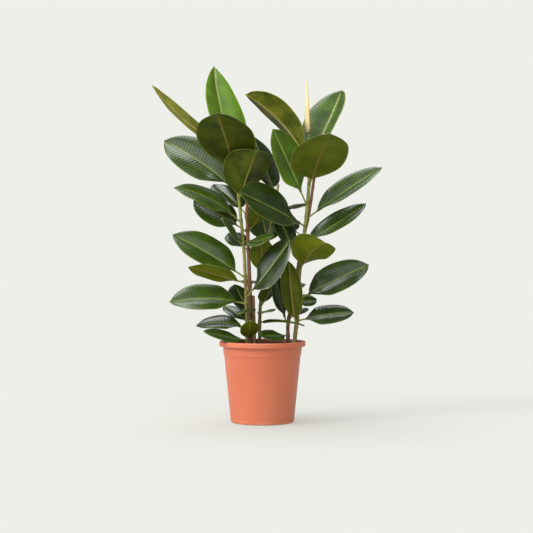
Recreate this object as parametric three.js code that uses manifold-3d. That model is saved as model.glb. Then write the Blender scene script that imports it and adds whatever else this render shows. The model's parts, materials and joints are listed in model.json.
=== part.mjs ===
// Rubber plant in a round nursery pot. Millimetres, +Z up, origin on the pot's axis at the floor.
import * as THREE from "three";
import { mergeVertices } from "three/addons/utils/BufferGeometryUtils.js";
import Module from "manifold-3d";

const wasm = await Module();
wasm.setup();

// ---- Pot ----
const POT_HEIGHT = 197;
const RIM_DIAMETER = 210;
const RIM_BAND = 12; // height of the turned-over rim
const RIM_OVERHANG = 7; // how far the rim stands out from the wall under it
const RIM_ROUND = 2.5;
const BASE_DIAMETER = 154;
const BASE_ROUND = 5;
const WALL = 2;
const STEP_DROP = 32; // stacking step, measured down from the rim's top
const STEP_WIDTH = 1.1;
const STEP_HEIGHT = 3;
const FOOT_RING_WIDTH = 11;
const PAD_DIAMETER = 56; // flat pad at the middle of the underside
const RECESS_HEIGHT = 4; // clearance between the drained floor and the ground
const FLOOR = 2.2; // thickness of the drained floor
const DRAIN_HOLES = 8;
const DRAIN_DIAMETER = 11;
const POT_SEGMENTS = 48;

// ---- Soil ----
const SOIL_DROP = 15; // soil surface below the rim
const SOIL_MOUND = 4; // extra height at the middle
const SOIL_ROUGHNESS = 1.6;
const SOIL_SEGMENTS = 40;

// ---- Clearances ----
const SOIL_GAP = 0.3; // soil to pot
const PLANT_GAP = 0.3; // stem to soil
const JOINT_GAP = 0.35; // petiole or bud to stem

// ---- Plant ----
const PLANT_HEIGHT = 695; // soil to the highest leaf tip
const DRAWN_HEIGHT = 695; // height the tables below are drawn at
const DRAWN_SOIL_RADIUS = 94.101015; // soil radius the stems' spacing is drawn at
const PLANTING_DEPTH = 55;
const STEM_SIDES = 8;
const STEM_STEP = 38; // spacing of the rings along a stem
const PETIOLE_DIAMETER = 4.6;
const BLADE_THICKNESS = 1.3;
const MIDRIB_DEPTH = 3;
const LEAF_SIDES = 8;
const BUD_LENGTH = 132;
const BUD_DIAMETER = 16;
const SMALL_BUD_LENGTH = 34;
const SMALL_BUD_DIAMETER = 8;

// Half-width of a blade, as a share of its widest, at shares of its length.
const BLADE_OUTLINE = [
  [0.0, 0.1],
  [0.04, 0.38],
  [0.12, 0.69],
  [0.25, 0.91],
  [0.42, 1.0],
  [0.59, 0.98],
  [0.74, 0.85],
  [0.86, 0.6],
  [0.94, 0.32],
  [0.98, 0.1],
];
const PETIOLE_STATIONS = [0.04, 0.35, 0.75];

// Stems: root as shares of the soil radius, then offsets from the root and heights above the soil.
const STEMS = {
  stem_left_green: {
    root: [-0.38, -0.15],
    diameter: [9, 7],
    path: [[0, 0, 0], [-3, -3, 95], [-6, -5, 180], [-10, -6, 250], [-16, -4, 309], [-23, 0, 380], [-28, 2, 435], [-31, 4, 490]],
    colour: 0x7c8a3c,
  },
  stem_left_woody: {
    root: [-0.3, 0.09],
    diameter: [11, 8],
    path: [[0, 0, 0], [-1, 0, 94], [-4, -2, 180], [-7, -2, 265], [-9, -2, 351], [-1, 2, 412], [4, 5, 452]],
    colour: 0x8a6a44,
  },
  stem_pruned: {
    root: [-0.2, -0.09],
    diameter: [8, 6.5],
    path: [[0, 0, 0], [-1, 1, 60], [-3, 2, 126]],
    colour: 0xb5a17c,
  },
  stem_centre: {
    root: [-0.07, 0.24],
    diameter: [9, 6],
    path: [[0, 0, 0], [1, 2, 94], [10, 4, 167], [22, 6, 266], [38, 8, 352], [46, 10, 400]],
    colour: 0x4d4a2c,
  },
  stem_right_green: {
    root: [0.82, -0.06],
    diameter: [11, 7],
    path: [[0, 0, 0], [7, 0, 66], [10, -1, 119], [13, -2, 180], [21, -2, 246], [28, 0, 302], [33, 1, 355], [37, 2, 407], [34, 5, 522]],
    colour: 0x7f8b3e,
  },
  stem_right_brown: {
    root: [0.68, 0.1],
    diameter: [9.5, 7],
    path: [[0, 0, 0], [-2, 4, 45], [10, 6, 119], [25, 6, 204], [36, 6, 266], [48, 6, 315], [62, 8, 408], [67, 10, 452]],
    colour: 0x7d5a3a,
  },
};

// Leaves. at: height of the joint on the stem. aim: heading (turning from +X towards +Y), rise of
// the petiole, droop along the leaf, sideways turn. size: petiole length, blade length, blade
// width. tilt: roll (lifts the leaf's left edge) and fold (lifts both halves about the midrib).
// taper: above 0 slims the tip, below 0 slims the base.
const LEAVES = [
  // Left crown
  { stem: "stem_left_green", at: 472, aim: [180, 29, -22, 0], size: [15, 244, 76], tilt: [18, 10] },
  { stem: "stem_left_green", at: 484, aim: [132, 60, -8, -25], size: [12, 228, 112], tilt: [0, 24], taper: 0.75 },
  { stem: "stem_left_green", at: 427, aim: [-104, 42, 10, 0], size: [32, 172, 140], tilt: [0, 6] },
  { stem: "stem_left_green", at: 379, aim: [158, 43, 18, 0], size: [38, 198, 108], tilt: [-52, 16] },
  { stem: "stem_left_green", at: 308, aim: [182, 48, 42, 0], size: [25, 154, 88], tilt: [-30, 8] },
  { stem: "stem_left_green", at: 362, aim: [-67, 50, 12, 0], size: [12, 140, 134], tilt: [-8, 34] },
  { stem: "stem_centre", at: 375, aim: [134, 62, 0, 0], size: [20, 148, 88], tilt: [0, 8] },
  { stem: "stem_right_green", at: 296, aim: [-146, 26, 8, 0], size: [14, 186, 100], tilt: [-62, 16], taper: -0.45 },
  // Left middle
  { stem: "stem_left_woody", at: 284, aim: [170, 36, 12, 0], size: [30, 120, 90], tilt: [-45, 8] },
  { stem: "stem_left_woody", at: 326, aim: [132, 40, 15, 0], size: [25, 120, 76], tilt: [-15, 8] },
  { stem: "stem_left_green", at: 250, aim: [-134, 46, 5, 0], size: [12, 80, 50], tilt: [-52, 8] },
  { stem: "stem_left_woody", at: 238, aim: [127, 34, 10, 0], size: [15, 72, 56], tilt: [-20, 8] },
  { stem: "stem_left_green", at: 257, aim: [-35, -5, -28, 0], size: [8, 80, 54], tilt: [34, 8] },
  { stem: "stem_left_green", at: 173, aim: [169, 36, 12, 0], size: [26, 178, 94], tilt: [-45, 16] },
  { stem: "stem_left_green", at: 158, aim: [-163, 19, 8, 0], size: [18, 124, 76], tilt: [25, 8] },
  // Left foot
  { stem: "stem_left_green", at: 107, aim: [181, 15, 28, 0], size: [22, 160, 92], tilt: [-42, 14] },
  { stem: "stem_left_woody", at: 80, aim: [124, 50, 5, 0], size: [12, 85, 70], tilt: [0, 8] },
  { stem: "stem_left_green", at: 47, aim: [170, 25, 46, 0], size: [12, 112, 68], tilt: [-26, 8] },
  { stem: "stem_left_woody", at: 58, aim: [136, 34, 20, 0], size: [15, 82, 46], tilt: [-16, 8] },
  { stem: "stem_left_green", at: 18, aim: [-158, 12, 0, 0], size: [12, 98, 62], tilt: [-24, 8] },
  { stem: "stem_left_green", at: 21, aim: [-83, 32, 0, 0], size: [10, 80, 44], tilt: [0, 8] },
  // Middle
  { stem: "stem_pruned", at: 92, aim: [-92, 4, 24, -66], size: [8, 62, 26], tilt: [0, 8] },
  { stem: "stem_centre", at: 82, aim: [-70, 12, 15, 0], size: [10, 70, 44], tilt: [12, 8] },
  { stem: "stem_centre", at: 104, aim: [-40, 60, 5, 0], size: [7, 58, 60], tilt: [0, 12] },
  { stem: "stem_centre", at: 172, aim: [-97, 45, -46, 0], size: [20, 86, 62], tilt: [0, 14] },
  { stem: "stem_left_woody", at: 286, aim: [-40, 44, -20, 0], size: [14, 92, 80], tilt: [0, 14] },
  { stem: "stem_left_green", at: 127, aim: [-30, 46, -5, 0], size: [24, 152, 100], tilt: [62, 6] },
  { stem: "stem_centre", at: 330, aim: [-40, -50, 20, 0], size: [10, 92, 52], tilt: [26, 12] },
  { stem: "stem_right_green", at: 270, aim: [130, 30, 15, 0], size: [32, 54, 56], tilt: [-20, 8] },
  { stem: "stem_right_green", at: 196, aim: [-64, 42, 34, 0], size: [12, 122, 110], tilt: [-26, 24] },
  // Right middle and foot
  { stem: "stem_right_green", at: 317, aim: [8, 38, 8, 0], size: [30, 190, 80], tilt: [32, 18] },
  { stem: "stem_right_green", at: 258, aim: [13, 29, -5, 0], size: [8, 172, 80], tilt: [26, 14] },
  { stem: "stem_right_green", at: 119, aim: [6, 30, 8, 0], size: [25, 162, 92], tilt: [48, 16] },
  { stem: "stem_right_brown", at: 110, aim: [18, 8, 5, 0], size: [10, 50, 44], tilt: [40, 8] },
  { stem: "stem_right_green", at: 66, aim: [2, 15, 14, 0], size: [18, 116, 68], tilt: [40, 8] },
  { stem: "stem_right_brown", at: 72, aim: [46, 22, 5, 0], size: [10, 54, 40], tilt: [0, 8] },
  { stem: "stem_right_brown", at: 63, aim: [-164, 76, 0, 0], size: [10, 112, 66], tilt: [-50, 8] },
  { stem: "stem_right_green", at: 62, aim: [-118, 72, -8, 0], size: [12, 140, 58], tilt: [0, 8] },
  { stem: "stem_centre", at: 60, aim: [-42, 9, 22, 0], size: [8, 132, 44], tilt: [-10, 8] },
  { stem: "stem_right_brown", at: 28, aim: [-142, 4, 8, 0], size: [10, 68, 52], tilt: [-28, 8] },
  // Right crown
  { stem: "stem_right_green", at: 462, aim: [167, 63, 34, 0], size: [18, 206, 104], tilt: [40, 24] },
  { stem: "stem_right_green", at: 353, aim: [-149, 64, 5, 0], size: [30, 166, 104], tilt: [-74, 14] },
  { stem: "stem_right_green", at: 396, aim: [-77, 37, 10, 0], size: [25, 176, 136], tilt: [0, 6] },
  { stem: "stem_right_green", at: 460, aim: [46, 54, -5, 0], size: [14, 200, 128], tilt: [2, 30] },
  { stem: "stem_right_green", at: 350, aim: [120, -5, 5, 0], size: [10, 72, 40], tilt: [0, 8] },
  // Back
  { stem: "stem_right_brown", at: 425, aim: [80, 25, 25, 0], size: [25, 160, 86], tilt: [0, 8] },
  { stem: "stem_left_woody", at: 400, aim: [100, 30, 25, 0], size: [25, 160, 88], tilt: [0, 8] },
  { stem: "stem_centre", at: 250, aim: [104, 62, 26, 0], size: [12, 128, 96], tilt: [0, 12] },
  { stem: "stem_right_brown", at: 135, aim: [92, 18, 25, 0], size: [20, 130, 70], tilt: [0, 8] },
  { stem: "stem_left_woody", at: 150, aim: [82, 16, 30, 0], size: [20, 120, 66], tilt: [0, 8] },
];

const degrees = THREE.MathUtils.degToRad;
const growth = PLANT_HEIGHT / DRAWN_HEIGHT;
const rimRadius = RIM_DIAMETER / 2;
const baseRadius = BASE_DIAMETER / 2;
const wallTopRadius = rimRadius - RIM_OVERHANG;
const soilLevel = POT_HEIGHT - SOIL_DROP;
const floorTop = RECESS_HEIGHT + FLOOR;
const stepTop = POT_HEIGHT - STEP_DROP;

// Outer radius of the wall at a height, with the stacking step let in.
function wallRadius(height) {
  const straight = THREE.MathUtils.mapLinear(height, 0, POT_HEIGHT, baseRadius, wallTopRadius);
  const below = THREE.MathUtils.clamp((stepTop - height) / STEP_HEIGHT, 0, 1);
  return straight - STEP_WIDTH * below * (height / stepTop);
}

function closed(geometry) {
  geometry.deleteAttribute("normal");
  geometry.deleteAttribute("uv");
  return mergeVertices(geometry, 1e-4);
}

// A body of revolution about +Z from [radius, height] pairs that run from axis to axis.
function turned(profile, segments) {
  const points = profile.map(([radius, height]) => new THREE.Vector2(radius, height));
  return closed(new THREE.LatheGeometry(points, segments)).rotateX(Math.PI / 2);
}

function solid(geometry) {
  const source = closed(geometry.clone());
  const index = source.index.array;
  const kept = [];
  for (let i = 0; i < index.length; i += 3) {
    const [a, b, c] = index.slice(i, i + 3);
    if (a !== b && b !== c && c !== a) kept.push(a, b, c);
  }
  const mesh = new wasm.Mesh({
    numProp: 3,
    vertProperties: new Float32Array(source.attributes.position.array),
    triVerts: new Uint32Array(kept),
  });
  return new wasm.Manifold(mesh);
}

function fromSolid(body) {
  const mesh = body.getMesh();
  const geometry = new THREE.BufferGeometry();
  geometry.setAttribute("position", new THREE.BufferAttribute(new Float32Array(mesh.vertProperties), 3));
  geometry.setIndex(new THREE.BufferAttribute(new Uint32Array(mesh.triVerts), 1));
  return geometry;
}

const root = new THREE.Group();
root.name = "potted_rubber_plant";

function add(name, geometry, colour, roughness) {
  const material = new THREE.MeshStandardMaterial({ color: colour, roughness, flatShading: false });
  const mesh = new THREE.Mesh(geometry, material);
  mesh.name = name;
  root.add(mesh);
}

// ---- Pot ----
function potProfile() {
  const lipBottom = POT_HEIGHT - RIM_BAND;
  const lipInside = wallRadius(POT_HEIGHT) - WALL;
  const recessOuter = baseRadius - BASE_ROUND - FOOT_RING_WIDTH;
  const padRadius = PAD_DIAMETER / 2;
  const outer = [
    [0, 0],
    [padRadius, 0],
    [padRadius + 1.5, RECESS_HEIGHT],
    [recessOuter - 1.5, RECESS_HEIGHT],
    [recessOuter, 0],
    [baseRadius - BASE_ROUND, 0],
    [wallRadius(0) - 0.3 * BASE_ROUND, 0.3 * BASE_ROUND],
    [wallRadius(BASE_ROUND), BASE_ROUND],
    [wallRadius(stepTop - STEP_HEIGHT), stepTop - STEP_HEIGHT],
    [wallRadius(stepTop), stepTop],
    [wallRadius(POT_HEIGHT - 2 * WALL), POT_HEIGHT - 2 * WALL],
    [rimRadius - WALL, POT_HEIGHT - 2 * WALL],
    [rimRadius - WALL, lipBottom],
    [rimRadius, lipBottom],
    [rimRadius, POT_HEIGHT - RIM_ROUND],
    [rimRadius - 0.3 * RIM_ROUND, POT_HEIGHT - 0.3 * RIM_ROUND],
    [rimRadius - RIM_ROUND, POT_HEIGHT],
  ];
  const inner = [
    [lipInside + RIM_ROUND, POT_HEIGHT],
    [lipInside + 0.3 * RIM_ROUND, POT_HEIGHT - 0.3 * RIM_ROUND],
    [wallRadius(POT_HEIGHT - RIM_ROUND) - WALL, POT_HEIGHT - RIM_ROUND],
    [wallRadius(stepTop) - WALL, stepTop],
    [wallRadius(stepTop - STEP_HEIGHT) - WALL, stepTop - STEP_HEIGHT],
    [wallRadius(floorTop + WALL) - WALL, floorTop + WALL],
    [wallRadius(floorTop) - 2 * WALL, floorTop],
    [0, floorTop],
  ];
  return [...outer, ...inner];
}

function drainHole(index) {
  const padRadius = PAD_DIAMETER / 2;
  const recessOuter = baseRadius - BASE_ROUND - FOOT_RING_WIDTH;
  const circle = (padRadius + recessOuter) / 2;
  const turn = (index / DRAIN_HOLES) * 2 * Math.PI;
  const cutter = new THREE.CylinderGeometry(DRAIN_DIAMETER / 2, DRAIN_DIAMETER / 2, 4 * FLOOR, 12);
  cutter.rotateX(Math.PI / 2);
  cutter.translate(circle * Math.cos(turn), circle * Math.sin(turn), RECESS_HEIGHT + FLOOR / 2);
  return solid(cutter);
}

let potBody = solid(turned(potProfile(), POT_SEGMENTS));
for (let i = 0; i < DRAIN_HOLES; i += 1) {
  potBody = potBody.subtract(drainHole(i));
}
add("pot", fromSolid(potBody), 0xde8563, 0.5);

// ---- Stems ----
const soilRadius = wallRadius(soilLevel) - WALL - SOIL_GAP;

// A stem's roots keep to the pot, and above the soil it leans to the spacing of the crown.
function stemCurve(stem) {
  const [x, y] = stem.root.map((share) => share * soilRadius);
  const [drawnX, drawnY] = stem.root.map((share) => share * DRAWN_SOIL_RADIUS);
  const points = stem.path.map(([dx, dy, z]) => {
    const [fromX, fromY] = z > 0 ? [drawnX * growth, drawnY * growth] : [x, y];
    return new THREE.Vector3(fromX + dx * growth, fromY + dy * growth, soilLevel + z * growth);
  });
  points.unshift(new THREE.Vector3(x, y, soilLevel - PLANTING_DEPTH));
  return new THREE.CatmullRomCurve3(points, false, "centripetal");
}

// A round limb of changing radius along a curve; margin thickens and lengthens it on every side.
function limb(curve, [base, tip], margin) {
  const steps = Math.max(4, Math.round(curve.getLength() / STEM_STEP));
  const geometry = new THREE.CylinderGeometry(1, 1, 1, STEM_SIDES, steps);
  const frames = curve.computeFrenetFrames(steps, false);
  const position = geometry.attributes.position;
  const point = new THREE.Vector3();
  for (let i = 0; i < position.count; i += 1) {
    const step = Math.round((position.getY(i) + 0.5) * steps);
    const share = step / steps;
    const radius = THREE.MathUtils.lerp(base, tip, share) / 2 + margin;
    curve.getPointAt(share, point);
    point.addScaledVector(frames.binormals[step], position.getX(i) * radius);
    point.addScaledVector(frames.normals[step], position.getZ(i) * radius);
    if (step === 0) point.addScaledVector(frames.tangents[0], -margin);
    position.setXYZ(i, point.x, point.y, point.z);
  }
  return closed(geometry);
}

// The curve's share of length at which it reaches a height.
function shareAtHeight(curve, height) {
  let low = 0;
  let high = 1;
  for (let i = 0; i < 24; i += 1) {
    const middle = (low + high) / 2;
    if (curve.getPointAt(middle).z < height) low = middle;
    else high = middle;
  }
  return (low + high) / 2;
}

const curves = {};
for (const [name, stem] of Object.entries(STEMS)) {
  curves[name] = stemCurve(stem);
  add(name, limb(curves[name], stem.diameter, 0), stem.colour, 0.7);
}

// ---- Soil ----
function soilGeometry() {
  const floorRadius = wallRadius(floorTop) - 2 * WALL - SOIL_GAP;
  const profile = [
    [0, floorTop + SOIL_GAP],
    [floorRadius, floorTop + SOIL_GAP],
    [wallRadius(floorTop + WALL) - WALL - SOIL_GAP, floorTop + WALL + SOIL_GAP],
    [wallRadius(stepTop - STEP_HEIGHT) - WALL - SOIL_GAP, stepTop - STEP_HEIGHT],
    [wallRadius(stepTop) - WALL - SOIL_GAP, stepTop + SOIL_GAP],
    [soilRadius, soilLevel],
  ];
  const rings = 5;
  for (let i = 1; i <= rings; i += 1) {
    const share = 1 - i / rings;
    profile.push([0.97 * soilRadius * share, soilLevel + SOIL_MOUND * (1 - share * share)]);
  }
  const geometry = turned(profile, SOIL_SEGMENTS);
  const position = geometry.attributes.position;
  for (let i = 0; i < position.count; i += 1) {
    const [x, y, z] = [position.getX(i), position.getY(i), position.getZ(i)];
    if (z <= soilLevel) continue;
    const waves = Math.sin(0.09 * x + 1) * Math.cos(0.11 * y) + 0.5 * Math.sin(0.23 * x - 0.17 * y);
    position.setZ(i, z + SOIL_ROUGHNESS * waves);
  }
  return geometry;
}

let soilBody = solid(soilGeometry());
for (const [name, stem] of Object.entries(STEMS)) {
  soilBody = soilBody.subtract(solid(limb(curves[name], stem.diameter, PLANT_GAP)));
}
add("soil", fromSolid(soilBody), 0x3a2c22, 1);

// ---- Leaves ----
// Rings of a leaf from joint to tip: distance along it, half-width, half-thickness and roundness.
function leafRings(leaf) {
  const [petiole, blade, width] = leaf.size.map((length) => length * growth);
  const taper = leaf.taper ?? 0;
  const round = PETIOLE_DIAMETER / 2;
  const rings = PETIOLE_STATIONS.map((share, i) => ({
    along: share * petiole,
    half: i === 0 ? 0.75 * round : round,
    isBlade: false,
  }));
  for (const [share, fullness] of BLADE_OUTLINE) {
    rings.push({
      along: petiole + share * blade,
      half: Math.max((width / 2) * fullness * (1 - taper * (share - 0.35)), 0.5 * BLADE_THICKNESS),
      rib: Math.max(MIDRIB_DEPTH * (1 - share), 0.45 * BLADE_THICKNESS),
      isBlade: true,
    });
  }
  return { rings, total: petiole + blade };
}

// A section's points run round from the right edge over the top: [across, up] for one side index.
function sectionPoint(ring, side, fold) {
  const angle = (side / LEAF_SIDES) * 2 * Math.PI;
  const across = -Math.cos(angle);
  const up = Math.sin(angle);
  if (!ring.isBlade) {
    const groove = up > 0.99 ? 0.62 : 1;
    return [across * ring.half, up * ring.half * groove];
  }
  const share = Math.abs(across) < 0.01 ? 0 : Math.abs(across) < 0.99 ? 0.56 : 1;
  const reach = share * ring.half;
  const lift = reach * Math.sin(fold) - 0.1 * ring.half * share * share;
  const isEdge = share === 1;
  const middle = share === 0;
  const top = middle ? 0.35 * BLADE_THICKNESS : 0.5 * BLADE_THICKNESS;
  const bottom = middle ? ring.rib : 0.5 * BLADE_THICKNESS;
  const skin = isEdge ? 0 : up > 0 ? top : -bottom;
  return [Math.sign(across) * reach * Math.cos(fold), lift + skin];
}

function leafFrames(leaf, start, rings, total) {
  const frames = [];
  const at = start.clone();
  let previous = 0;
  const [heading, rise, droop, turn] = leaf.aim.map(degrees);
  const direction = (share) => {
    const climb = rise - droop * share;
    const bearing = heading + turn * share;
    return new THREE.Vector3(
      Math.cos(climb) * Math.cos(bearing),
      Math.cos(climb) * Math.sin(bearing),
      Math.sin(climb),
    );
  };
  for (const along of [0, ...rings.map((ring) => ring.along), total]) {
    at.addScaledVector(direction((previous + along) / 2 / total), along - previous);
    previous = along;
    const share = along / total;
    const tangent = direction(share);
    const bearing = heading + turn * share;
    const left = new THREE.Vector3(-Math.sin(bearing), Math.cos(bearing), 0);
    left.applyAxisAngle(tangent, degrees(leaf.tilt[0]) * Math.min(1, 3 * share));
    const up = new THREE.Vector3().crossVectors(tangent, left);
    frames.push({ at: at.clone(), left, up });
  }
  return frames;
}

function leafStart(leaf) {
  const curve = curves[leaf.stem];
  const [base, tip] = STEMS[leaf.stem].diameter;
  const share = shareAtHeight(curve, soilLevel + leaf.at * growth);
  const radius = THREE.MathUtils.lerp(base, tip, share) / 2;
  const [heading, rise] = leaf.aim.map(degrees);
  const lean = 0.5 * PETIOLE_DIAMETER * Math.abs(Math.sin(rise));
  const out = new THREE.Vector3(Math.cos(heading), Math.sin(heading), 0);
  const tangent = curve.getTangentAt(share);
  out.addScaledVector(tangent, -out.dot(tangent)).normalize();
  return curve.getPointAt(share).addScaledVector(out, radius + lean + JOINT_GAP);
}

// Facets under a blade lean the same way as those on top, so a twisted blade keeps its thickness.
function leafFacets(rows) {
  const facets = [];
  const across = LEAF_SIDES + 1;
  for (let row = 0; row < rows; row += 1) {
    for (let side = 0; side < LEAF_SIDES; side += 1) {
      const b = row * across + side;
      const [a, c, d] = [b + 1, b + across, b + across + 1];
      if (row === 0) facets.push(b, c, d);
      else if (row === rows - 1) facets.push(a, b, d);
      else if (side < LEAF_SIDES / 2) facets.push(a, b, d, b, c, d);
      else facets.push(a, b, c, a, c, d);
    }
  }
  return facets;
}

function leafGeometry(leaf) {
  const { rings, total } = leafRings(leaf);
  const frames = leafFrames(leaf, leafStart(leaf), rings, total);
  const geometry = new THREE.SphereGeometry(1, LEAF_SIDES, rings.length + 1);
  geometry.setIndex(leafFacets(rings.length + 1));
  const position = geometry.attributes.position;
  const fold = degrees(leaf.tilt[1]);
  for (let i = 0; i < position.count; i += 1) {
    const row = Math.floor(i / (LEAF_SIDES + 1));
    const side = i % (LEAF_SIDES + 1);
    const frame = frames[row];
    const ring = rings[row - 1];
    const point = frame.at.clone();
    if (ring) {
      const [across, up] = sectionPoint(ring, side % LEAF_SIDES, fold);
      point.addScaledVector(frame.left, across).addScaledVector(frame.up, up);
    }
    position.setXYZ(i, point.x, point.y, point.z);
  }
  return closed(geometry);
}

LEAVES.forEach((leaf, i) => {
  add(`leaf_${String(i + 1).padStart(2, "0")}`, leafGeometry(leaf), 0x35521f, 0.4);
});

// ---- Buds ----
// A pointed rolled sheath that continues a stem past its end.
function budGeometry(stemName, length, diameter) {
  const curve = curves[stemName];
  const top = curve.getPointAt(1);
  const tangent = curve.getTangentAt(1);
  const base = STEMS[stemName].diameter[1] / 2;
  const shape = [
    [0.004, 0.9 * base],
    [0.05, 0.8 * (diameter / 2)],
    [0.16, diameter / 2],
    [0.36, 0.8 * (diameter / 2)],
    [0.56, 0.52 * (diameter / 2)],
    [0.78, 0.27 * (diameter / 2)],
    [0.94, 0.1 * (diameter / 2)],
  ];
  const rows = shape.length + 1;
  const geometry = new THREE.SphereGeometry(1, STEM_SIDES, rows);
  const position = geometry.attributes.position;
  const turn = new THREE.Quaternion().setFromUnitVectors(new THREE.Vector3(0, 0, 1), tangent);
  for (let i = 0; i < position.count; i += 1) {
    const row = Math.floor(i / (STEM_SIDES + 1));
    const angle = -((i % (STEM_SIDES + 1)) / STEM_SIDES) * 2 * Math.PI;
    const [share, radius] = shape[row - 1] ?? [row === 0 ? 0 : 1, 0];
    const point = new THREE.Vector3(radius * Math.cos(angle), radius * Math.sin(angle), share * length);
    point.z += JOINT_GAP;
    point.applyQuaternion(turn).add(top);
    position.setXYZ(i, point.x, point.y, point.z);
  }
  return closed(geometry);
}

add("bud_right", budGeometry("stem_right_green", BUD_LENGTH * growth, BUD_DIAMETER), 0xc9bf86, 0.5);
add("bud_left", budGeometry("stem_left_green", SMALL_BUD_LENGTH * growth, SMALL_BUD_DIAMETER), 0xa9b060, 0.5);

export default root;
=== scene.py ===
"""Potted rubber plant: a round plastic nursery pot, its soil, six stems, two buds and fifty leaves.

Everything is in metres, +Z up, with the origin on the pot's axis at the floor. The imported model
gives the place of each part; each class here builds one kind of part over it and dresses it.
"""

import json
import logging
import math
import random
from collections.abc import Callable, Iterable
from dataclasses import dataclass, field
from enum import Enum

import bmesh
import bpy
import numpy as np
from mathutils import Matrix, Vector


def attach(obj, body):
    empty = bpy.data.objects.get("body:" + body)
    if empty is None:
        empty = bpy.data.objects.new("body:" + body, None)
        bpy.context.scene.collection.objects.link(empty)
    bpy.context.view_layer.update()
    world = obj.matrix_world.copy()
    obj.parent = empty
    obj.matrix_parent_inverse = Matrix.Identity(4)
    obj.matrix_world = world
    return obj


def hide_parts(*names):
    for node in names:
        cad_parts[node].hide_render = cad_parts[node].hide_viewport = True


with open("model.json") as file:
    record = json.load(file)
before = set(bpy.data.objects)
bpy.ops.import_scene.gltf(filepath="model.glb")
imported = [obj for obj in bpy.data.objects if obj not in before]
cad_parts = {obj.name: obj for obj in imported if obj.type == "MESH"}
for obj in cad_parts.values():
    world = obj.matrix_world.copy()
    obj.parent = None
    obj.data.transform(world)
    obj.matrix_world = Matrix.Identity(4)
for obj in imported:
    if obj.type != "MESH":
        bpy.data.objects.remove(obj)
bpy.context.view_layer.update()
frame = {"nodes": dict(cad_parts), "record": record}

log = logging.getLogger("rubber_plant")

Colour = tuple[float, float, float, float]
MM = 0.001
HAIR = 0.001 * MM  # a distance too small to matter


# ---- Bench: selecting, copying and finishing ----


def tint(red: int, green: int, blue: int) -> Colour:
    """Turns a screen colour into the linear colour that a shader takes.

    Args:
        red: Red from 0 to 255.
        green: Green from 0 to 255.
        blue: Blue from 0 to 255.

    Returns:
        The linear colour, opaque.
    """
    parts = [value / 255 for value in (red, green, blue)]
    linear = [p / 12.92 if p <= 0.04045 else ((p + 0.055) / 1.055) ** 2.4 for p in parts]
    return (linear[0], linear[1], linear[2], 1.0)


def clear_bench() -> None:
    """Leaves edit mode and deselects everything."""
    if bpy.context.object is not None and bpy.context.object.mode != "OBJECT":
        bpy.ops.object.mode_set(mode="OBJECT")
    bpy.ops.object.select_all(action="DESELECT")


def take(piece: bpy.types.Object) -> bpy.types.Object:
    """Selects one object alone and makes it the active one.

    Args:
        piece: The object to work on.

    Returns:
        The same object.
    """
    clear_bench()
    piece.select_set(True)
    bpy.context.view_layer.objects.active = piece
    return piece


def copy_of(piece: bpy.types.Object, name: str) -> bpy.types.Object:
    """Copies an object with a mesh of its own.

    Args:
        piece: The object to copy.
        name: The copy's name.

    Returns:
        The copy, linked to the scene and free of any parent.
    """
    twin = piece.copy()
    twin.data = piece.data.copy()
    twin.name = name
    twin.data.name = name
    twin.parent = None
    bpy.context.scene.collection.objects.link(twin)
    return twin


def pick(piece: bpy.types.Object, wanted: Callable[[Vector], bool], kind: str = "VERT") -> None:
    """Selects, in edit mode, the vertices, edges or faces whose middle is at a wanted place.

    Args:
        piece: The object in edit mode.
        wanted: Says whether a place is wanted.
        kind: VERT, EDGE or FACE.
    """
    bpy.ops.mesh.select_mode(type=kind)
    bpy.ops.mesh.select_all(action="DESELECT")
    sheet = bmesh.from_edit_mesh(piece.data)
    if kind == "VERT":
        for vertex in sheet.verts:
            vertex.select_set(wanted(vertex.co))
    elif kind == "EDGE":
        for edge in sheet.edges:
            edge.select_set(wanted((edge.verts[0].co + edge.verts[1].co) / 2))
    else:
        for face in sheet.faces:
            face.select_set(wanted(face.calc_center_median()))
    sheet.select_flush_mode()
    bmesh.update_edit_mesh(piece.data)


def apply_modifier(piece: bpy.types.Object, kind: str, **settings: object) -> None:
    """Adds a modifier to an object and applies it.

    Args:
        piece: The object to change.
        kind: The modifier's type.
        **settings: Values set on the modifier.
    """
    take(piece)
    modifier = piece.modifiers.new(kind.lower(), kind)
    for key, value in settings.items():
        setattr(modifier, key, value)
    bpy.ops.object.modifier_apply(modifier=modifier.name)


def join_into(piece: bpy.types.Object, others: Iterable[bpy.types.Object]) -> bpy.types.Object:
    """Joins other objects into one.

    Args:
        piece: The object that keeps its name.
        others: The objects that are joined to it.

    Returns:
        The joined object.
    """
    take(piece)
    for other in others:
        other.select_set(True)
    bpy.ops.object.join()
    return piece


def mark(piece: bpy.types.Object, name: str, values: np.ndarray) -> None:
    """Writes one number for each vertex of a mesh, for the shaders to read.

    Args:
        piece: The object.
        name: The attribute's name.
        values: One value for each vertex.
    """
    found = piece.data.attributes.get(name)
    attribute = found or piece.data.attributes.new(name, "FLOAT", "POINT")
    attribute.data.foreach_set("value", np.asarray(values, np.float32))


def places(piece: bpy.types.Object) -> np.ndarray:
    """Returns the places of a mesh's vertices, one row each."""
    found = np.zeros(len(piece.data.vertices) * 3, np.float32)
    piece.data.vertices.foreach_get("co", found)
    return found.reshape(-1, 3).astype(float)


def weld(piece: bpy.types.Object, distance: float, outwards: bool = False) -> None:
    """Merges a mesh's close vertices.

    Args:
        piece: The object.
        distance: How close they lie.
        outwards: Also turns every face outwards.
    """
    take(piece)
    bpy.ops.object.mode_set(mode="EDIT")
    bpy.ops.mesh.select_all(action="SELECT")
    bpy.ops.mesh.remove_doubles(threshold=distance)
    if outwards:
        bpy.ops.mesh.normals_make_consistent(inside=False)
    bpy.ops.object.mode_set(mode="OBJECT")


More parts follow.
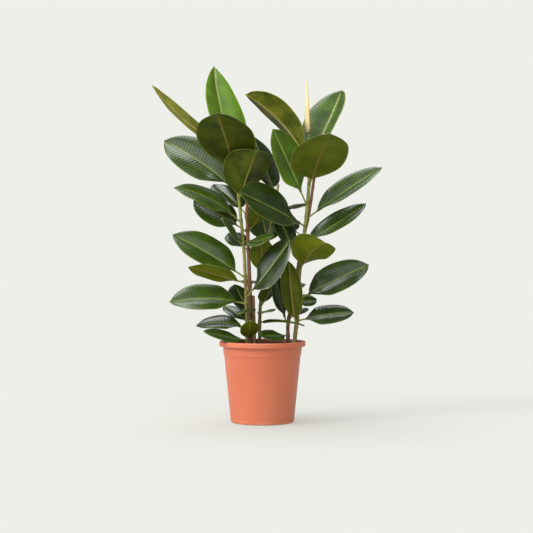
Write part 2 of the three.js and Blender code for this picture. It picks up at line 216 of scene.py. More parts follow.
def finish_piece(
    piece: bpy.types.Object, slot: str, nodes: Iterable[str] = (), angle: float = 60.0
) -> None:
    """Smooths a piece, sets it riding on the plant, hides the CAD nodes that it replaces and logs
    its slot.

    Args:
        piece: The finished object, at the origin.
        slot: The record's material slot.
        nodes: The CAD nodes that the piece replaces.
        angle: The sharpest bend in degrees that is still shaded smooth.
    """
    take(piece)
    bpy.ops.object.shade_smooth_by_angle(angle=math.radians(angle))
    clear_bench()
    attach(piece, "root")
    if list(nodes):
        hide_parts(*nodes)
    log.info("%s: %d faces, slot %s", piece.name, len(piece.data.polygons), slot)


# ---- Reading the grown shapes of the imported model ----


@dataclass
class Limb:
    """Rows of vertices along a stem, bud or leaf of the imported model.

    Attributes:
        name: The CAD node.
        rows: Places in each row, from the base pole to the tip pole.
    """

    name: str
    rows: list[list[Vector]] = field(default_factory=list)

    @classmethod
    def read(cls, name: str, from_low_end: bool) -> "Limb":
        """Reads a node row by row.

        Args:
            name: The CAD node, a body with eight sides that closes in a pole at each end.
            from_low_end: Starts at the lower pole, or else at the pole with the rounder end.

        Returns:
            The limb, with each row in the same order round.
        """
        copy = copy_of(frame["nodes"][name], "reading_" + name)
        weld(copy, 0.02 * MM)
        mesh = copy.data
        place = [vertex.co.copy() for vertex in mesh.vertices]
        beside: list[set[int]] = [set() for _ in place]
        for edge in mesh.edges:
            a, b = edge.vertices
            beside[a].add(b)
            beside[b].add(a)
        faces = [tuple(face.vertices) for face in mesh.polygons]
        bpy.data.objects.remove(copy)
        bpy.data.meshes.remove(mesh)
        poles = sorted(range(len(place)), key=lambda v: -len(beside[v]))[:2]
        if from_low_end:
            poles.sort(key=lambda v: place[v].z)
        else:
            poles.sort(key=lambda v: cls.spread([place[a] for a in beside[v]]))
        row_of = {poles[0]: 0}
        edge_of_search = [poles[0]]
        while edge_of_search:
            further = []
            for vertex in edge_of_search:
                for other in sorted(beside[vertex]):
                    if other not in row_of:
                        row_of[other] = row_of[vertex] + 1
                        further.append(other)
            edge_of_search = further
        beside_in_row: dict[int, int] = {}
        for face in faces:
            for turn in range(3):
                v, p, q = face[turn], face[(turn + 1) % 3], face[(turn + 2) % 3]
                if row_of[p] == row_of[q] == row_of[v] + 1:
                    beside_in_row[p] = q
        last = row_of[poles[1]]
        rows = [[place[poles[0]]]]
        for index in range(1, last):
            row = [min(v for v in beside_in_row if row_of[v] == index)]
            while beside_in_row[row[-1]] != row[0]:
                row.append(beside_in_row[row[-1]])
            ring = [place[v] for v in row]
            rows.append(cls.matched(rows[-1], ring) if index > 1 else ring)
        rows.append([place[poles[1]]])
        return cls(name, rows)

    @staticmethod
    def spread(ring: list[Vector]) -> float:
        """Returns the greatest distance between two points of a row."""
        return max((a - b).length for a in ring for b in ring)

    @staticmethod
    def matched(before: list[Vector], ring: list[Vector]) -> list[Vector]:
        """Turns a row's order until it lies best against the row before it.

        Args:
            before: The row before.
            ring: The row, in the same sense round.

        Returns:
            The row, starting beside the other's first point.
        """
        turned = [ring[k:] + ring[:k] for k in range(len(ring))]
        return min(
            turned, key=lambda row: sum((a - b).length_squared for a, b in zip(before, row))
        )

    def centres(self) -> list[Vector]:
        """Returns the middle of each row, poles included."""
        return [sum(row, Vector()) / len(row) for row in self.rows]

    def girths(self) -> list[float]:
        """Returns the mean radius of each row."""
        middles = self.centres()
        return [sum((p - c).length for p in row) / len(row) for row, c in zip(self.rows, middles)]


def along(points: list[Vector], place: float) -> Vector:
    """Finds a place on a smooth line through evenly counted points.

    Args:
        points: The points, one for each whole number.
        place: How far along, counted in points.

    Returns:
        The place on the line.
    """
    index = min(max(int(math.floor(place)), 0), len(points) - 2)
    t = place - index
    p1, p2 = points[index], points[index + 1]
    p0 = points[index - 1] if index > 0 else p1 * 2 - p2
    p3 = points[index + 2] if index + 2 < len(points) else p2 * 2 - p1
    bend = (p0 * 2 - p1 * 5 + p2 * 4 - p3) * t * t + (p1 * 3 - p0 - p2 * 3 + p3) * t * t * t
    return (p1 * 2 + (p2 - p0) * t + bend) / 2


def between(values: list[float], place: float) -> float:
    """Finds a value between evenly counted values.

    Args:
        values: The values, one for each whole number.
        place: How far along, counted in values.

    Returns:
        The value at that place, on a straight line between its neighbours.
    """
    low = min(int(place), len(values) - 2)
    return values[low] + (values[low + 1] - values[low]) * (place - low)


def nearest_on(line: list[Vector], spots: np.ndarray) -> tuple[np.ndarray, np.ndarray]:
    """Finds the point of a line that lies nearest to each spot.

    Args:
        line: The points of the line.
        spots: The spots, one row each.

    Returns:
        The index of each spot's nearest point, and the way from that point to the spot.
    """
    points = np.array([tuple(p) for p in line])
    nearest = np.argmin(((spots[:, None, :] - points[None]) ** 2).sum(2), 1)
    return nearest, spots - points[nearest]


def tube(name: str, line: list[Vector], radii: list[float], sides: int) -> bpy.types.Object:
    """Draws a round tube along a line and turns it into a mesh.

    Args:
        name: The object's name.
        line: The points along the middle.
        radii: The radius at each point.
        sides: Twice a whole number of sides round, at least six.

    Returns:
        The closed mesh.
    """
    clear_bench()
    curve = bpy.data.curves.new(name, "CURVE")
    curve.dimensions = "3D"
    curve.bevel_depth = 1.0
    curve.bevel_resolution = max(1, sides // 2 - 2)
    curve.use_fill_caps = True
    spline = curve.splines.new("POLY")
    spline.points.add(len(line) - 1)
    for point, place, radius in zip(spline.points, line, radii):
        point.co = (*place, 1.0)
        point.radius = radius
    drawn = bpy.data.objects.new(name, curve)
    bpy.context.scene.collection.objects.link(drawn)
    take(drawn)
    bpy.ops.object.convert(target="MESH")
    made = bpy.context.object
    weld(made, 0.005 * MM, outwards=True)
    made.name = name
    return made


# ---- Shader bench ----


class Sheet:
    """A shader tree being laid out."""

    def __init__(self, tree: bpy.types.NodeTree) -> None:
        """Keeps the tree.

        Args:
            tree: The tree to lay nodes in.
        """
        self.tree = tree

    def add(self, kind: str, inputs: dict | None = None, **settings: object) -> bpy.types.Node:
        """Adds a node.

        Args:
            kind: The node's type.
            inputs: Values or sockets for its inputs.
            **settings: Values set on the node itself.

        Returns:
            The node.
        """
        node = self.tree.nodes.new(kind)
        for key, value in settings.items():
            setattr(node, key, value)
        for key, value in (inputs or {}).items():
            self.feed(node.inputs[key], value)
        return node

    def feed(self, socket: bpy.types.NodeSocket, value: object) -> None:
        """Links a socket to an input, or sets the input's own value.

        Args:
            socket: The input.
            value: A socket or a plain value.
        """
        if isinstance(value, bpy.types.NodeSocket):
            self.tree.links.new(value, socket)
        else:
            socket.default_value = value

    def sum(
        self, kind: str, a: object, b: object = 0.0, clamp: bool = False
    ) -> bpy.types.NodeSocket:
        """Does one step of arithmetic.

        Args:
            kind: The operation.
            a: The first value.
            b: The second value.
            clamp: Keeps the result between 0 and 1.

        Returns:
            The result.
        """
        node = self.add("ShaderNodeMath", {0: a, 1: b}, operation=kind, use_clamp=clamp)
        return node.outputs[0]

    def fade(
        self, value: object, low: float, high: float, to_low: float = 0.0, to_high: float = 1.0
    ) -> bpy.types.NodeSocket:
        """Turns a value smoothly from one level to another between two limits.

        Args:
            value: The value.
            low: Where the change starts.
            high: Where it ends.
            to_low: The result before it starts.
            to_high: The result after it ends.

        Returns:
            The result.
        """
        levels = {"Value": value, "From Min": low, "From Max": high}
        levels |= {"To Min": to_low, "To Max": to_high}
        node = self.add("ShaderNodeMapRange", levels, interpolation_type="SMOOTHSTEP")
        return node.outputs["Result"]

    def mix(self, share: object, a: object, b: object, how: str = "MIX") -> bpy.types.NodeSocket:
        """Mixes two colours.

        Args:
            share: How much of the second colour.
            a: The first colour.
            b: The second colour.
            how: The way of mixing.

        Returns:
            The mixed colour.
        """
        node = self.add("ShaderNodeMix", data_type="RGBA", blend_type=how)
        self.feed(node.inputs[0], share)
        self.feed(node.inputs[6], a)
        self.feed(node.inputs[7], b)
        return node.outputs[2]

    def value(self, name: str) -> bpy.types.NodeSocket:
        """Returns a number that the mesh carries at each vertex."""
        return self.add("ShaderNodeAttribute", attribute_name=name).outputs["Fac"]

    def place(self, stretch: tuple[float, float, float] = (1.0, 1.0, 1.0)) -> bpy.types.NodeSocket:
        """Returns the place on the piece, stretched along its axes.

        Args:
            stretch: The factor along each axis.

        Returns:
            The place.
        """
        where = self.add("ShaderNodeTexCoord").outputs["Object"]
        if stretch == (1.0, 1.0, 1.0):
            return where
        return self.add("ShaderNodeMapping", {"Vector": where, "Scale": stretch}).outputs[0]

    def noise(
        self, place: object, scale: float, detail: float = 2.0, rough: float = 0.5
    ) -> bpy.types.NodeSocket:
        """Returns soft noise at a place.

        Args:
            place: The place.
            scale: How many lumps there are to a metre.
            detail: How many finer layers are added.
            rough: How strong the finer layers are.

        Returns:
            The noise, from 0 to 1.
        """
        values = {"Vector": place, "Scale": scale, "Detail": detail, "Roughness": rough}
        return self.add("ShaderNodeTexNoise", values).outputs["Fac"]


def new_group(
    name: str, takes: dict[str, float], gives: Iterable[str]
) -> tuple[Sheet, dict, bpy.types.Node]:
    """Starts a group of shader nodes.

    Args:
        name: The group's name.
        takes: Its inputs, each with a starting value.
        gives: Its outputs.

    Returns:
        The sheet to lay it out on, its inputs by name, and its output node.
    """
    tree = bpy.data.node_groups.new(name, "ShaderNodeTree")
    for key, value in takes.items():
        socket = tree.interface.new_socket(name=key, in_out="INPUT", socket_type="NodeSocketFloat")
        socket.default_value = value
    for key in gives:
        tree.interface.new_socket(name=key, in_out="OUTPUT", socket_type="NodeSocketFloat")
    sheet = Sheet(tree)
    source = sheet.add("NodeGroupInput")
    target = sheet.add("NodeGroupOutput")
    return sheet, {key: source.outputs[key] for key in takes}, target


def new_material(name: str) -> tuple[bpy.types.Material, Sheet, bpy.types.Node]:
    """Starts a material.

    Args:
        name: The material's name.

    Returns:
        The material, the sheet to lay it out on, and its surface shader.
    """
    material = bpy.data.materials.new(name)
    material.use_nodes = True
    tree = material.node_tree
    surface = next(node for node in tree.nodes if node.type == "BSDF_PRINCIPLED")
    return material, Sheet(tree), surface


@dataclass
class SharedEffects:
    """Effects that several finishes use, each built once."""

    veins: bpy.types.NodeTree = field(init=False)
    mottle: bpy.types.NodeTree = field(init=False)
    pores: bpy.types.NodeTree = field(init=False)

    def __post_init__(self) -> None:
        """Builds the groups."""
        self.veins = self.build_veins()
        self.mottle = self.build_mottle()
        self.pores = self.build_pores()

    def build_veins(self) -> bpy.types.NodeTree:
        """Builds the side veins of a leaf.

        Returns:
            A group that gives the vein lines and the swelling between them.
        """
        takes = {"Across": 0.0, "Along": 0.0, "Spacing": 0.008, "Lean": 0.3, "Wander": 0.0}
        sheet, source, target = new_group("side_veins", takes, ("Line", "Swell", "Fine"))
        out_from_rib = sheet.sum("ABSOLUTE", source["Across"])
        side = sheet.sum("MULTIPLY", sheet.sum("SIGN", source["Across"]), 0.0013)
        lean = sheet.sum("MULTIPLY", out_from_rib, source["Lean"])
        leaned = sheet.sum("SUBTRACT", source["Along"], lean)
        shifted = sheet.sum("ADD", sheet.sum("ADD", leaned, side), source["Wander"])
        count = sheet.sum("DIVIDE", shifted, source["Spacing"])
        wave = sheet.sum("MULTIPLY", sheet.sum("PINGPONG", count, 0.5), 2.0)
        finer = sheet.sum("PINGPONG", sheet.sum("MULTIPLY", count, 3.0), 0.5)
        sheet.feed(target.inputs["Line"], sheet.fade(wave, 0.74, 1.0))
        sheet.feed(target.inputs["Swell"], sheet.fade(wave, 0.0, 1.0))
        sheet.feed(target.inputs["Fine"], sheet.fade(sheet.sum("MULTIPLY", finer, 2.0), 0.5, 1.0))
        return sheet.tree

    def build_mottle(self) -> bpy.types.NodeTree:
        """Builds soft uneven colour at two sizes.

        Returns:
            A group that gives broad and fine patches.
        """
        takes = {"Broad": 20.0, "Fine": 300.0}
        sheet, source, target = new_group("uneven_colour", takes, ("Patches", "Specks"))
        where = sheet.place()
        broad = sheet.noise(where, source["Broad"], 3.0)
        fine = sheet.noise(where, source["Fine"])
        sheet.feed(target.inputs["Patches"], sheet.fade(broad, 0.3, 0.7))
        sheet.feed(target.inputs["Specks"], sheet.fade(fine, 0.35, 0.7))
        return sheet.tree

    def build_pores(self) -> bpy.types.NodeTree:
        """Builds small round pores and crumbs.

        Returns:
            A group that gives the dots and the height of the grain.
        """
        sheet, source, target = new_group("pores", {"Size": 400.0, "Share": 0.3}, ("Dots", "Grain"))
        cells = {"Vector": sheet.place(), "Scale": source["Size"]}
        found = sheet.add("ShaderNodeTexVoronoi", cells).outputs["Distance"]
        limits = {"Value": found, "From Min": source["Share"], "From Max": 0.0}
        near = sheet.add("ShaderNodeMapRange", limits)
        sheet.feed(target.inputs["Dots"], near.outputs["Result"])
        sheet.feed(target.inputs["Grain"], found)
        return sheet.tree


class Finish:
    """A material being built: its sheet and its surface shader."""

    def __init__(self, name: str, effects: SharedEffects) -> None:
        """Makes the material.

        Args:
            name: The material's name.
            effects: The shared groups.
        """
        self.material, self.sheet, self.surface = new_material(name)
        self.effects = effects

    def group(self, tree: bpy.types.NodeTree, inputs: dict) -> bpy.types.Node:
        """Places a shared group.

        Args:
            tree: The group.
            inputs: Its values.

        Returns:
            The group's node.
        """
        node = self.sheet.add("ShaderNodeGroup", node_tree=tree)
        for key, value in inputs.items():
            self.sheet.feed(node.inputs[key], value)
        return node

    def set(self, **inputs: object) -> None:
        """Sets or links the surface shader's inputs, with _ for a space in their names."""
        for key, value in inputs.items():
            self.sheet.feed(self.surface.inputs[key.replace("_", " ")], value)

    def bump(self, height: object, strength: float, distance: float) -> None:
        """Gives the surface relief.

        Args:
            height: The height, from 0 to 1.
            strength: How strongly it shows.
            distance: The depth in metres.
        """
        values = {"Height": height, "Strength": strength, "Distance": distance}
        node = self.sheet.add("ShaderNodeBump", values)
        self.sheet.feed(self.surface.inputs["Normal"], node.outputs["Normal"])


# ---- Finishes ----


@dataclass(frozen=True)
class LeafFace:
    """Colours and gloss of one side of a leaf.

    Attributes:
        name: The material's name.
        deep: The darker green.
        light: The lighter green.
        vein: The colour of the side veins.
        margin: The colour of the thin edge.
        rib: The colour beside the midrib.
        vein_share: How clearly the side veins show.
        margin_share: How clearly the edge shows.
        gloss: The roughness of the wax.
        wax: How much clear wax lies over the green.
        relief: How strongly the veins stand out.
        shine: How much the surface mirrors.
    """

    name: str
    deep: Colour
    light: Colour
    vein: Colour
    margin: Colour
    rib: Colour
    vein_share: float = 0.2
    margin_share: float = 0.55
    gloss: float = 0.5
    wax: float = 0.0
    relief: float = 0.25
    shine: float = 0.14

    def make(self, effects: SharedEffects) -> bpy.types.Material:
        """Builds the material.

        Args:
            effects: The shared groups.

        Returns:
            The material.
        """
        finish = Finish(self.name, effects)
        s = finish.sheet
        across, length = s.value("rib_distance"), s.value("leaf_distance")
        width, tone = s.value("across"), s.value("tone")
        wander = s.sum("MULTIPLY", s.sum("SUBTRACT", s.noise(s.place(), 55.0, 2.0), 0.5), 0.006)
        veins = finish.group(effects.veins, {"Across": across, "Along": length, "Wander": wander})
        uneven = finish.group(effects.mottle, {"Broad": 28.0, "Fine": 420.0})
        out = s.sum("ABSOLUTE", across)
        towards_edge = s.sum("ABSOLUTE", width)
        shown = s.sum("MULTIPLY", s.fade(out, 0.001, 0.006), s.fade(towards_edge, 0.99, 0.8))
        line = s.sum("MULTIPLY", veins.outputs["Line"], shown)
        fine = s.sum("MULTIPLY", veins.outputs["Fine"], shown)
        patches = s.sum("MULTIPLY", uneven.outputs["Patches"], 0.28)
        # The per-leaf value moves the green from deep to light; for some leaves it is painted shade
        # and for one it is painted light.
        share = s.sum("ADD", patches, s.sum("MULTIPLY", tone, 0.72))
        green = s.mix(share, self.deep, self.light)
        lined = s.sum("ADD", s.sum("MULTIPLY", line, 0.75), s.sum("MULTIPLY", fine, 0.25))
        green = s.mix(s.sum("MULTIPLY", lined, self.vein_share), green, self.vein)
        green = s.mix(s.fade(out, 0.006, 0.0008, 0.0, 0.55), green, self.rib)
        edge = s.fade(towards_edge, 0.93, 0.995, 0.0, self.margin_share)
        green = s.mix(edge, green, self.margin)
        rough = s.sum("ADD", self.gloss, s.sum("MULTIPLY", uneven.outputs["Specks"], 0.05))
        rough = s.sum("ADD", rough, s.sum("MULTIPLY", line, 0.06))
        swell = s.sum("MULTIPLY", veins.outputs["Swell"], 0.8)
        height = s.sum("ADD", swell, s.sum("MULTIPLY", fine, 0.08))
        finish.set(Base_Color=green, Roughness=rough, Specular_IOR_Level=self.shine)
        finish.set(Coat_Weight=self.wax, Coat_Roughness=0.16)
        finish.bump(s.sum("MULTIPLY", height, shown), self.relief, 0.0011)
        return finish.material


class LeafAge(Enum):
    """How old a leaf is, by the record's slot."""

    GROWN = "leaf"
    YOUNG = "young_leaf"


LEAF_TOPS = {
    LeafAge.GROWN: LeafFace(
        name="grown_leaf_top",
        deep=tint(12, 20, 3),
        light=tint(62, 90, 14),
        vein=tint(96, 122, 40),
        margin=tint(120, 134, 50),
        rib=tint(92, 114, 34),
        margin_share=0.5,
        gloss=0.27,
        wax=0.12,
        relief=0.26,
        shine=0.42,
    ),
    LeafAge.YOUNG: LeafFace(
        name="young_leaf_top",
        deep=tint(27, 50, 2),
        light=tint(104, 146, 16),
        vein=tint(140, 168, 70),
        margin=tint(168, 172, 80),
        rib=tint(146, 162, 64),
        vein_share=0.24,
        gloss=0.27,
        wax=0.12,
        relief=0.26,
        shine=0.32,
    ),
}

LEAF_UNDERSIDES = {
    LeafAge.GROWN: LeafFace(
        name="grown_leaf_underside",
        deep=tint(32, 44, 0),
        light=tint(104, 114, 20),
        vein=tint(96, 108, 22),
        margin=tint(116, 128, 36),
        rib=tint(100, 98, 26),
    ),
    LeafAge.YOUNG: LeafFace(
        name="young_leaf_underside",
        deep=tint(48, 60, 2),
        light=tint(160, 160, 50),
        vein=tint(144, 146, 48),
        margin=tint(164, 168, 66),
        rib=tint(144, 134, 48),
    ),
}


@dataclass(frozen=True)
class RibFinish:
    """The leaf's stalk and midrib: pale above, tan below."""

    name: str
    stalk: Colour
    above: Colour
    below: Colour

    def make(self, effects: SharedEffects) -> bpy.types.Material:
        """Builds the material.

        Args:
            effects: The shared groups.

        Returns:
            The material.
        """
        finish = Finish(self.name, effects)
        s = finish.sheet
        upper, length = s.value("upper"), s.value("along")
        uneven = finish.group(effects.mottle, {"Broad": 60.0, "Fine": 700.0})
        rib = s.mix(s.fade(upper, -0.1, 0.45), self.below, self.above)
        colour = s.mix(s.fade(length, -0.02, 0.1), self.stalk, rib)
        colour = s.mix(s.sum("MULTIPLY", uneven.outputs["Patches"], 0.3), colour, self.below)
        rough = s.fade(uneven.outputs["Specks"], 0.0, 1.0, 0.36, 0.5)
        finish.set(Base_Color=colour, Roughness=rough)
        finish.bump(uneven.outputs["Specks"], 0.25, 0.0002)
        return finish.material


LEAF_RIBS = {
    LeafAge.GROWN: RibFinish(
        name="grown_leaf_rib",
        stalk=tint(120, 128, 40),
        above=tint(160, 168, 84),
        below=tint(128, 112, 50),
    ),
    LeafAge.YOUNG: RibFinish(
        name="young_leaf_rib",
        stalk=tint(142, 150, 66),
        above=tint(206, 204, 146),
        below=tint(164, 140, 84),
    ),
}


@dataclass(frozen=True)
class BarkFinish:
    """The skin of a stem.

    Attributes:
        name: The material's name.
        low: The colour near the soil.
        high: The colour near the crown.
        scar: The colour of the leaf scars.
        dot: The colour of the pores.
        change: The heights between which the colour changes.
        rough: The roughness.
    """

    name: str
    low: Colour
    high: Colour
    scar: Colour
    dot: Colour
    change: tuple[float, float]
    rough: float

    def make(self, effects: SharedEffects) -> bpy.types.Material:
        """Builds the material.

        Args:
            effects: The shared groups.

        Returns:
            The material.
        """
        finish = Finish(self.name, effects)
        s = finish.sheet
        height = s.add("ShaderNodeSeparateXYZ", {0: s.place()}).outputs["Z"]
        streak = s.noise(s.place((1.0, 1.0, 0.12)), 420.0, 3.0, 0.6)
        uneven = finish.group(effects.mottle, {"Broad": 70.0, "Fine": 600.0})
        pores = finish.group(effects.pores, {"Size": 260.0, "Share": 0.22})
        colour = s.mix(s.fade(height, self.change[0], self.change[1]), self.low, self.high)
        colour = s.mix(s.fade(streak, 0.35, 0.7, 0.0, 0.45), colour, self.scar)
        colour = s.mix(s.sum("MULTIPLY", uneven.outputs["Patches"], 0.35), colour, self.scar)
        dots = pores.outputs["Dots"]
        colour = s.mix(s.sum("MULTIPLY", dots, 0.7, clamp=True), colour, self.dot)
        colour = s.mix(s.fade(s.value("scar"), 0.2, 0.9, 0.0, 0.75), colour, self.scar)
        relief = s.sum("ADD", s.sum("MULTIPLY", streak, 0.7), s.sum("MULTIPLY", dots, 0.4))
        rough = s.fade(streak, 0.2, 0.8, self.rough, self.rough + 0.18)
        finish.set(Base_Color=colour, Roughness=rough)
        finish.bump(relief, 0.5, 0.0006)
        return finish.material


class StemKind(Enum):
    """How far a stem has turned to wood."""

    GREEN = "green_stem"
    WOODY = "woody_stem"


STEM_BARKS = {
    StemKind.GREEN: BarkFinish(
        name="green_stem_skin",
        low=tint(124, 114, 52),
        high=tint(146, 156, 58),
        scar=tint(92, 74, 34),
        dot=tint(180, 168, 104),
        change=(0.26, 0.52),
        rough=0.42,
    ),
    StemKind.WOODY: BarkFinish(
        name="woody_stem_bark",
        low=tint(122, 92, 52),
        high=tint(156, 106, 62),
        scar=tint(86, 54, 28),
        dot=tint(204, 176, 128),
        change=(0.24, 0.5),
        rough=0.55,
    ),
}


@dataclass(frozen=True)
class SheathFinish:
    """The papery sheath round a bud: cream with one flushed side."""

    name: str = "bud_sheath_skin"
    cream: Colour = tint(226, 208, 146)
    flush: Colour = tint(176, 128, 96)
    base: Colour = tint(150, 150, 76)

    def make(self, effects: SharedEffects) -> bpy.types.Material:
        """Builds the material.

        Args:
            effects: The shared groups.

        Returns:
            The material.
        """
        finish = Finish(self.name, effects)
        s = finish.sheet
        streak = s.noise(s.place((1.0, 1.0, 0.06)), 380.0, 3.0, 0.55)
        uneven = finish.group(effects.mottle, {"Broad": 60.0, "Fine": 500.0})
        colour = s.mix(s.fade(s.value("flush"), 0.2, 0.85), self.cream, self.flush)
        colour = s.mix(s.fade(streak, 0.45, 0.75, 0.0, 0.35), colour, self.flush)
        colour = s.mix(s.fade(s.value("along"), 0.22, 0.0, 0.0, 0.8), colour, self.base)
        rough = s.fade(uneven.outputs["Specks"], 0.0, 1.0, 0.34, 0.5)
        finish.set(Base_Color=colour, Roughness=rough)
        finish.bump(streak, 0.35, 0.0005)
        return finish.material


@dataclass(frozen=True)
class PotFinish:
    """Moulded plastic in a terracotta colour, with dust, watering marks and painted shade on the
    inner wall.

    Attributes:
        name: The material's name.
        fresh: The main colour.
        faded: The lighter colour of broad patches.
        dark: The darker colour of faint runs.
        dust: The colour of worn edges and dust.
        soil_stain_and_shade: The colour of wet soil on the inside, laid over nearly all of the
            inner wall above the soil as painted shade.
        rim_height: Height of the rim's top.
        soil_height: Height of the soil's edge.
        inner_foot: Radius at the floor that parts the inside of the wall from the outside.
        flare: How much that radius grows with height.
    """

    name: str = "terracotta_plastic_skin"
    fresh: Colour = tint(194, 101, 67)
    faded: Colour = tint(203, 116, 82)
    dark: Colour = tint(177, 86, 55)
    dust: Colour = tint(232, 176, 148)
    soil_stain_and_shade: Colour = tint(62, 38, 26)
    rim_height: float = 0.197
    soil_height: float = 0.182
    inner_foot: float = 0.076
    flare: float = 0.1066

    def make(self, effects: SharedEffects) -> bpy.types.Material:
        """Builds the material.

        Args:
            effects: The shared groups.

        Returns:
            The material.
        """
        finish = Finish(self.name, effects)
        s = finish.sheet
        split = s.add("ShaderNodeSeparateXYZ", {0: s.place()})
        height = split.outputs["Z"]
        flat = s.sum("POWER", split.outputs["X"], 2.0)
        radius = s.sum("SQRT", s.sum("ADD", flat, s.sum("POWER", split.outputs["Y"], 2.0)))
        uneven = finish.group(effects.mottle, {"Broad": 9.0, "Fine": 900.0})
        drawn = s.noise(s.place((1.0, 1.0, 0.04)), 160.0, 2.0)
        flow = s.noise(s.place((0.35, 0.35, 1.6)), 30.0, 3.0)
        scuffs = s.noise(s.place((1.0, 1.0, 3.0)), 46.0, 6.0, 0.7)
        colour = s.mix(s.sum("MULTIPLY", uneven.outputs["Patches"], 0.5), self.fresh, self.faded)
        colour = s.mix(s.fade(flow, 0.5, 0.8, 0.0, 0.18), colour, self.dark)
        colour = s.mix(s.fade(drawn, 0.6, 0.85, 0.0, 0.16), colour, self.faded)
        rim_edge = s.fade(height, self.rim_height - 0.004, self.rim_height, 0.0, 0.35)
        foot = s.fade(height, 0.012, 0.0, 0.0, 0.35)
        worn = s.sum("MULTIPLY", s.sum("ADD", rim_edge, foot), s.fade(scuffs, 0.4, 0.7))
        colour = s.mix(worn, colour, self.dust)
        colour = s.mix(s.fade(scuffs, 0.66, 0.8, 0.0, 0.14), colour, self.dust)
        # Painted shade: the wet-soil colour covers nearly all of the inner wall between rim and
        # soil, fullest at the soil. It stands in for the shade inside the pot as well as for a soil
        # stain.
        limit = s.sum("ADD", self.inner_foot, s.sum("MULTIPLY", height, self.flare))
        inside = s.fade(s.sum("SUBTRACT", limit, radius), 0.0, 0.0006)
        lower = s.fade(height, self.rim_height - 0.002, self.soil_height, 0.5, 1.0)
        inner_shade_and_stain = s.sum("MULTIPLY", inside, lower)
        inner_shade_and_stain = s.sum("MULTIPLY", inner_shade_and_stain, s.fade(scuffs, 0.3, 0.6, 0.8, 1.0))
        colour = s.mix(inner_shade_and_stain, colour, self.soil_stain_and_shade)
        specks = uneven.outputs["Specks"]
        rough = s.sum("ADD", 0.40, s.sum("MULTIPLY", specks, 0.10))
        rough = s.sum("ADD", rough, s.sum("MULTIPLY", worn, 0.3))
        grain = s.sum("ADD", s.sum("MULTIPLY", specks, 0.3), s.sum("MULTIPLY", drawn, 0.7))
        finish.set(Base_Color=colour, Roughness=rough)
        finish.bump(grain, 0.3, 0.0006)
        return finish.material


@dataclass(frozen=True)
class SoilFinish:
    """Damp potting soil or what lies in it.

    Attributes:
        name: The material's name.
        wet: The darkest colour.
        dry: The lightest colour.
        grain: How many grains there are to a metre.
    """

    name: str
    wet: Colour
    dry: Colour
    grain: float

    def make(self, effects: SharedEffects) -> bpy.types.Material:
        """Builds the material.

        Args:
            effects: The shared groups.

        Returns:
            The material.
        """
        finish = Finish(self.name, effects)
        s = finish.sheet
        uneven = finish.group(effects.mottle, {"Broad": 60.0, "Fine": self.grain})
        pores = finish.group(effects.pores, {"Size": self.grain, "Share": 0.4})
        specks = s.sum("MULTIPLY", uneven.outputs["Specks"], 0.5)
        colour = s.mix(uneven.outputs["Patches"], self.wet, self.dry)
        colour = s.mix(specks, colour, self.wet)
        relief = s.sum("ADD", pores.outputs["Grain"], specks)
        rough = s.fade(uneven.outputs["Patches"], 0.0, 1.0, 0.72, 0.95)
        finish.set(Base_Color=colour, Roughness=rough)
        finish.bump(relief, 0.8, 0.0012)
        return finish.material


SOIL = SoilFinish("damp_soil", tint(24, 18, 13), tint(58, 44, 32), 900.0)
SOIL_LUMPS = SoilFinish("soil_lump", tint(34, 25, 18), tint(84, 62, 44), 1100.0)
BARK_CHIPS = SoilFinish("bark_chip", tint(70, 46, 28), tint(132, 94, 60), 700.0)
PALE_GRIT = SoilFinish("pale_grit", tint(206, 198, 182), tint(240, 236, 226), 800.0)


# ---- Pot ----


